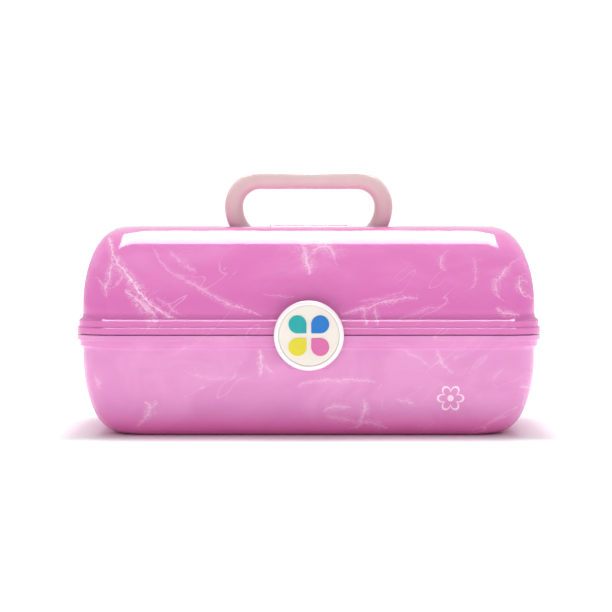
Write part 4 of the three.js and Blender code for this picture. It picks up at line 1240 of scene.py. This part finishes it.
def inset_ring(half_x, front_y, back_y, inset, r, z):
    """A rounded rectangle about the case's middle plane, each side moved in by an inset."""
    half_y = (back_y - front_y) / 2
    return rounded_rect(half_x - inset, half_y - inset, r, z, (front_y + back_y) / 2)


def tray_ring(inset, r, z):
    return inset_ring(TRAY_X, TRAY_FRONT_Y, TRAY_BACK_Y, inset, r, z)


def build_tray():
    """Outside, rim and well in one skin, with the ears, bosses and guides that stand on it."""
    solid = Solid()
    rings = []
    for inset, rise in quarter_round(TRAY_FOOT_R):
        rings.append(tray_ring(inset, TRAY_CORNER_R - inset, TRAY_LOW.z + rise))
    for inset, drop in reversed(quarter_round(BIN_LIP)):
        rings.append(tray_ring(inset, TRAY_CORNER_R - inset, TRAY_TOP_Z - drop))
    for proud, drop in quarter_round(BIN_LIP):
        rings.append(tray_ring(TRAY_WALL - proud, BIN_CORNER_R + proud, TRAY_TOP_Z - drop))
    for inset, rise in reversed(quarter_round(BIN_FLOOR_FILLET)):
        rings.append(tray_ring(TRAY_WALL + inset, BIN_CORNER_R - inset, TRAY_FLOOR_Z + rise))
    solid.loft(rings)
    for way in SIDES.values():
        add_tray_ears(solid, way)
    add_guides(solid)
    return solid


def add_tray_ears(solid, way):
    """The ear that hangs on the lid's pin, and the boss that the arm turns on."""
    inner = TRAY_X - TRAY_WALL
    root_z = LID_PIVOT[1] - EAR_ROOT
    ear = [
        *arc(LID_PIVOT, EAR_R, 0, 180, 28),
        Vector((LID_PIVOT[0] - EAR_R, root_z)),
        Vector((LID_PIVOT[0] + EAR_R, root_z)),
    ]
    low, high = sorted((way * inner, way * (TRAY_X + EAR_PROUD)))
    solid.plate([ear, circle_hole(LID_PIVOT, PIVOT_R + BORE_CLEAR)], low, high, along_x, 0.4)
    boss = circle(TRAY_PIVOT, BOSS_R, 48)
    low, high = sorted((way * (inner + BOSS_SUNK), way * TRAY_HIGH.x))
    solid.plate([boss, circle_hole(TRAY_PIVOT, PIVOT_R + BORE_CLEAR)], low, high, along_x, 0.4)


def add_guides(solid):
    """Pairs of slim ribs on the tray's walls, which hold the ends of the dividers between them."""
    for row, numbers in CROSS_DIVIDERS.items():
        for number in numbers:
            low, high = node_box(f"tray_divider_{row}_{number}")
            wall_y = TRAY_FRONT_Y + TRAY_WALL if row == "front" else TRAY_BACK_Y - TRAY_WALL
            inward = 1 if row == "front" else -1
            for edge, way in ((low.x, -1), (high.x, 1)):
                add_rib(solid, edge + way * GUIDE_CLEAR, way, wall_y, inward, along_z)
    low, high = node_box(LONG_DIVIDER)
    for side in SIDES.values():
        for edge, way in ((low.y, -1), (high.y, 1)):
            wall_x = side * (TRAY_X - TRAY_WALL)
            add_rib(solid, edge + way * GUIDE_CLEAR, way, wall_x, -side, swapped_along_z)


def add_rib(solid, edge, way, wall, inward, place):
    """A rib from edge outwards, rooted in a wall; the outline's first direction runs along the wall."""
    u0, u1 = sorted((edge, edge + way * GUIDE_THICK))
    v0, v1 = sorted((wall - inward * GUIDE_ROOT, wall + inward * GUIDE_REACH))
    outline = [Vector((u0, v0)), Vector((u1, v0)), Vector((u1, v1)), Vector((u0, v1))]
    solid.plate([outline], TRAY_FLOOR_Z - 0.5, TRAY_TOP_Z - GUIDE_BELOW_TOP, place, 0.3)


def swapped_along_z(u, v, station):
    """An outline in YX, with stations along Z."""
    return Vector((v, u, station))


def build_divider(name):
    """A thin plate with round top corners and a finger hollow in its top edge."""
    low, high = node_box(name)
    if name == LONG_DIVIDER:
        start, end, thin, place = low.x, high.x, (low.y, high.y), along_y
    else:
        start, end, thin, place = low.y, high.y, (low.x, high.x), along_x
    middle = (start + end) / 2
    half = min(HOLLOW_HALF, (end - start) * HOLLOW_SHARE)
    dip = []
    for i in range(DIP_STEPS + 1):
        share = i / DIP_STEPS
        sag = HOLLOW_DEPTH * (0.5 - 0.5 * math.cos(math.tau * share))
        dip.append(Vector((middle + half - 2 * half * share, high.z - sag)))
    corners = [(end, low.z, 0.0), (end, high.z, DIVIDER_CORNER_R), (middle + half, high.z, 0.0)]
    rise = filleted(corners)[:-1]
    fall = [Vector((start + end - p.x, p.y)) for p in reversed(rise)]
    return Solid().plate([rise + dip + fall], *thin, place, 0.3)


# ---------------- arms, rivets and pins
ARM_HALF_WIDTH = 5.5
SLOT_HALF_WIDTH = 1.6
SLOT_FROM_PIVOT = 12.0
PIN_CHAMFER = 0.35
RIVET_HEAD_R = 4.5
RIVET_HEAD_THICK = 1.3
RIVET_DOME = 1.0


def build_arm(side):
    low, high = node_box(f"arm_{side}")
    base, tray = Vector(BASE_PIVOT), Vector(TRAY_PIVOT)
    turn = math.degrees(math.atan2(tray.y - base.y, tray.x - base.x))
    outline = arc(base, ARM_HALF_WIDTH, turn + 90, turn + 270, 24)
    outline += arc(tray, ARM_HALF_WIDTH, turn - 90, turn + 90, 24)
    holes = [circle_hole(p, PIVOT_R + BORE_CLEAR) for p in (base, tray)]
    along = (tray - base).normalized()
    slot = arc(base + along * SLOT_FROM_PIVOT, SLOT_HALF_WIDTH, turn + 270, turn + 90, 10)
    slot += arc(tray - along * SLOT_FROM_PIVOT, SLOT_HALF_WIDTH, turn + 90, turn - 90, 10)
    return Solid().plate([outline, *holes, slot], low.x, high.x, along_x, 0.5)


def pin_axis(low, high):
    return (low.y + high.y) / 2, (low.z + high.z) / 2


def build_pin(node, radius):
    """A pin along X with chamfered ends."""
    low, high = node_box(node)
    profile = [
        (0, low.x),
        (radius - PIN_CHAMFER, low.x),
        (radius, low.x + PIN_CHAMFER),
        (radius, high.x - PIN_CHAMFER),
        (radius - PIN_CHAMFER, high.x),
        (0, high.x),
    ]
    return Solid().lathe(profile, about(pin_axis(low, high)), 40)


def build_rivet(node):
    """A rivet along X, its domed head against the arm: inside it in the tub, outside it on the tray."""
    low, high = node_box(node)
    head_x, tip_x = sorted((low.x, high.x), key=abs)
    if "tray" in node:
        head_x, tip_x = tip_x, head_x
    way = math.copysign(1.0, tip_x - head_x)
    turns = [QUARTER * i / DOME_STEPS for i in range(DOME_STEPS + 1)]
    profile = [(RIVET_HEAD_R * math.sin(t), RIVET_DOME * (1 - math.cos(t))) for t in turns]
    profile += [(RIVET_HEAD_R, RIVET_HEAD_THICK), (PIVOT_R, RIVET_HEAD_THICK)]
    profile = [(radius, head_x + way * depth) for radius, depth in profile]
    profile += [(PIVOT_R, tip_x - way * PIN_CHAMFER), (PIVOT_R - PIN_CHAMFER, tip_x), (0, tip_x)]
    return Solid().lathe(profile, about(pin_axis(low, high)), 48)


# ---------------- mirror
GLASS_LOW, GLASS_HIGH = node_box("mirror_glass")
MIRROR_BORDER = 7.0
MIRROR_LIP = 0.8
MIRROR_BACK = 1.8
STUD_ROOT = 3.0
STUD_CHAMFER = 0.5
GLASS_EDGE = 0.3
GLASS_CORNER_R = 4.0


def build_mirror_frame():
    """A shallow dish with soft edges and a lip round the glass, and a stud at each end."""
    solid = Solid()
    low, top = MIRROR_LOW.z, MIRROR_HIGH.z
    border, lip = MIRROR_BORDER, MIRROR_LIP
    # (inset, corner radius, z), from the back's edge round to the seat of the glass.
    sections = [
        (1.2, 7.0, top),
        (0.35, 7.7, top - 0.3),
        (0.0, 8.0, top - 1.1),
        (0.0, 8.0, low + 1.3),
        (0.35, 7.7, low + 0.45),
        (1.3, 7.0, low),
        (border - 0.8, 5.0, low),
        (border + 0.2, 4.4, low + 0.12),
        (border + lip, 4.0, low + lip * 0.7),
        (border + lip, 4.0, low + lip),
        (border, 4.6, low + lip),
        (border, 4.6, top - MIRROR_BACK),
    ]
    solid.loft([inset_ring(MIRROR_X, MIRROR_LOW.y, MIRROR_HIGH.y, *section) for section in sections])
    for way in SIDES.values():
        root = way * (MIRROR_X - STUD_ROOT)
        tip = way * MIRROR_HIGH.x
        stud = [
            (0, root),
            (MIRROR_STUD_R, root),
            (MIRROR_STUD_R, tip - way * STUD_CHAMFER),
            (MIRROR_STUD_R - STUD_CHAMFER, tip),
            (0, tip),
        ]
        solid.lathe(stud, about(MIRROR_AXIS), 40)
    return solid


def build_mirror_glass():
    rings = []
    for inset, z in ((GLASS_EDGE, GLASS_LOW.z), (0.0, GLASS_LOW.z + GLASS_EDGE), (0.0, GLASS_HIGH.z)):
        corner_r = GLASS_CORNER_R - inset
        rings.append(inset_ring(GLASS_HIGH.x, GLASS_LOW.y, GLASS_HIGH.y, inset, corner_r, z))
    return Solid().loft(rings)


# ---------------- the pieces
add_piece("tub_skin", build_tub(), "base", TUB_PLASTIC, ["base_shell"])
add_piece("lid_skin", build_lid(), "lid", LID_PLASTIC, ["lid_shell"])
add_piece("handle_skin", build_handle(), "handle", IVORY, crease=60)
add_piece("latch_skin", build_latch(), "latch", WHITE, ["latch_disc"])
add_piece("badge_skin", build_badge(), "latch", BADGE, ["badge_disc"])
for colour, (degrees, tone, darker) in PETALS.items():
    ink = moulded_plastic(f"print_{colour}", tone, darker, INK_ROUGHNESS)
    add_piece(f"badge_petal_{colour}_skin", build_petal(degrees), "latch", ink)
add_piece("tray_skin", build_tray(), "tray", TRAY_PLASTIC)
DIVIDERS = [f"tray_divider_{row}_{i}" for row, numbers in CROSS_DIVIDERS.items() for i in numbers]
for divider in [LONG_DIVIDER, *DIVIDERS]:
    add_piece(f"{divider}_skin", build_divider(divider), "tray", TRAY_PLASTIC)
add_piece("mirror_frame_skin", build_mirror_frame(), "mirror", TRAY_PLASTIC)
add_piece("mirror_glass_skin", build_mirror_glass(), "mirror", MIRROR)
add_piece("latch_pin_skin", build_pin("latch_pin", LATCH_PIN_R), "base", STEEL)
for side in SIDES:
    add_piece(f"arm_{side}_skin", build_arm(side), f"arm_{side}", TRAY_PLASTIC)
    for pin, radius, body in (("hinge_pin", HINGE_PIN_R, "base"), ("lid_tray_pin", PIVOT_R, "lid")):
        add_piece(f"{pin}_{side}_skin", build_pin(f"{pin}_{side}", radius), body, STEEL)
    for rivet, body in (("arm_base_rivet", "base"), ("arm_tray_rivet", "tray")):
        add_piece(f"{rivet}_{side}_skin", build_rivet(f"{rivet}_{side}"), body, STEEL)


# ---------------- floor, light and camera
FLOOR_HALF = 6.0
# The floor glows with painted light past the contact shadow, and again far out, where it meets the white
# room; the glow fades out towards the case, so the contact shadow is partly painted shadow.
SHADOW_FROM, SHADOW_TO = 28.0, 80.0
NEAR_GLOW = 0.75
FAR_FROM, FAR_TO = 350.0, 1100.0


def stage_material():
    material, nodes, shader, place = new_material("studio_floor")
    tone = nodes.noise(place, 0.002, 2.0)
    nodes.feed(shader.inputs["Base Color"], nodes.mix(tone, (0.93, 0.93, 0.93, 1), (0.95, 0.95, 0.95, 1)))
    shader.inputs["Roughness"].default_value = 0.9
    shader.inputs["Specular IOR Level"].default_value = 0.1
    away = nodes.add("ShaderNodeVectorMath", {0: place}, operation="LENGTH").outputs["Value"]
    parts = nodes.split(place)
    past_end = nodes.math("SUBTRACT", nodes.math("ABSOLUTE", parts["X"]), WALL_X - BOTTOM_INSET)
    past_face = nodes.math("SUBTRACT", nodes.math("ABSOLUTE", parts["Y"]), WALL_Y - BOTTOM_INSET)
    past = nodes.math("MAXIMUM", past_end, past_face)
    # Painted light: the floor's emission fades out towards the case's footprint, so it also deepens the real
    # contact shadow with painted shadow.
    near = nodes.ramp(past, SHADOW_FROM, SHADOW_TO, 0.0, NEAR_GLOW)
    glow = nodes.math("MAXIMUM", near, nodes.ramp(away, FAR_FROM, FAR_TO))
    shader.inputs["Emission Color"].default_value = (1, 1, 1, 1)
    nodes.feed(shader.inputs["Emission Strength"], glow)
    return material


def add_floor():
    mesh = bpy.data.meshes.new("floor")
    corners = [(FLOOR_HALF * x, FLOOR_HALF * y, 0) for x, y in ((-1, -1), (1, -1), (1, 1), (-1, 1))]
    mesh.from_pydata(corners, [], [(0, 1, 2, 3)])
    mesh.materials.append(stage_material())
    floor = bpy.data.objects.new("floor", mesh)
    bpy.context.scene.collection.objects.link(floor)


def add_softbox(name, at, aim, size, radiance, glossy=True, diffuse=True):
    """A rectangular soft light that shines as brightly as its radiance says."""
    light = bpy.data.lights.new(name, "AREA")
    light.shape = "RECTANGLE"
    light.size, light.size_y = size
    light.energy = radiance * math.pi * size[0] * size[1]
    lamp = bpy.data.objects.new(name, light)
    lamp.location = at
    lamp.rotation_euler = (Vector(aim) - Vector(at)).to_track_quat("-Z", "Y").to_euler()
    lamp.visible_camera = False
    lamp.visible_glossy = glossy
    lamp.visible_diffuse = diffuse
    bpy.context.scene.collection.objects.link(lamp)


ROOM_BEFORE, ROOM_BEHIND, ROOM_SEEN = 0.42, 0.85, 1.05


def add_world():
    """A white room: full white where the camera sees it, and brighter behind the case than before it."""
    world = bpy.data.worlds.new("white_room")
    world.use_nodes = True
    nodes = Nodes(world.node_tree)
    background = world.node_tree.nodes["Background"]
    direction = nodes.add("ShaderNodeTexCoord").outputs["Generated"]
    room = nodes.ramp(nodes.split(direction)["Y"], -0.1, 0.6, ROOM_BEFORE, ROOM_BEHIND)
    seen = nodes.add("ShaderNodeLightPath").outputs["Is Camera Ray"]
    strength = nodes.math("MAXIMUM", room, nodes.math("MULTIPLY", seen, ROOM_SEEN))
    background.inputs["Color"].default_value = (1, 1, 1, 1)
    nodes.feed(background.inputs["Strength"], strength)
    bpy.context.scene.world = world


CAMERA_LENS = 127.0
CAMERA_SENSOR = 36.0
CAMERA_AT = Vector((-0.002, -1.6, 0.161))
CAMERA_AIM = Vector((-0.002, 0.0, 0.0895))


def add_camera():
    camera = bpy.data.cameras.new("camera")
    camera.lens = CAMERA_LENS
    camera.sensor_width = CAMERA_SENSOR
    view = bpy.data.objects.new("camera", camera)
    view.location = CAMERA_AT
    view.rotation_euler = (CAMERA_AIM - CAMERA_AT).to_track_quat("-Z", "Y").to_euler()
    bpy.context.scene.collection.objects.link(view)
    bpy.context.scene.camera = view


add_floor()
add_world()
add_softbox("overhead_strip", (0.0, 0.55, 1.15), (0.0, 0.55, 0.0), (0.95, 1.1), 12.0, diffuse=False)
add_softbox("top_fill", (0.0, 0.25, 1.3), (0.0, 0.0, 0.1), (1.3, 1.2), 3.0, glossy=False)
add_softbox("front_fill", (0.0, -2.2, 1.1), (0.0, 0.0, 0.08), (2.6, 1.8), 0.42, glossy=False)
add_camera()
bpy.context.scene.view_settings.view_transform = "Standard"
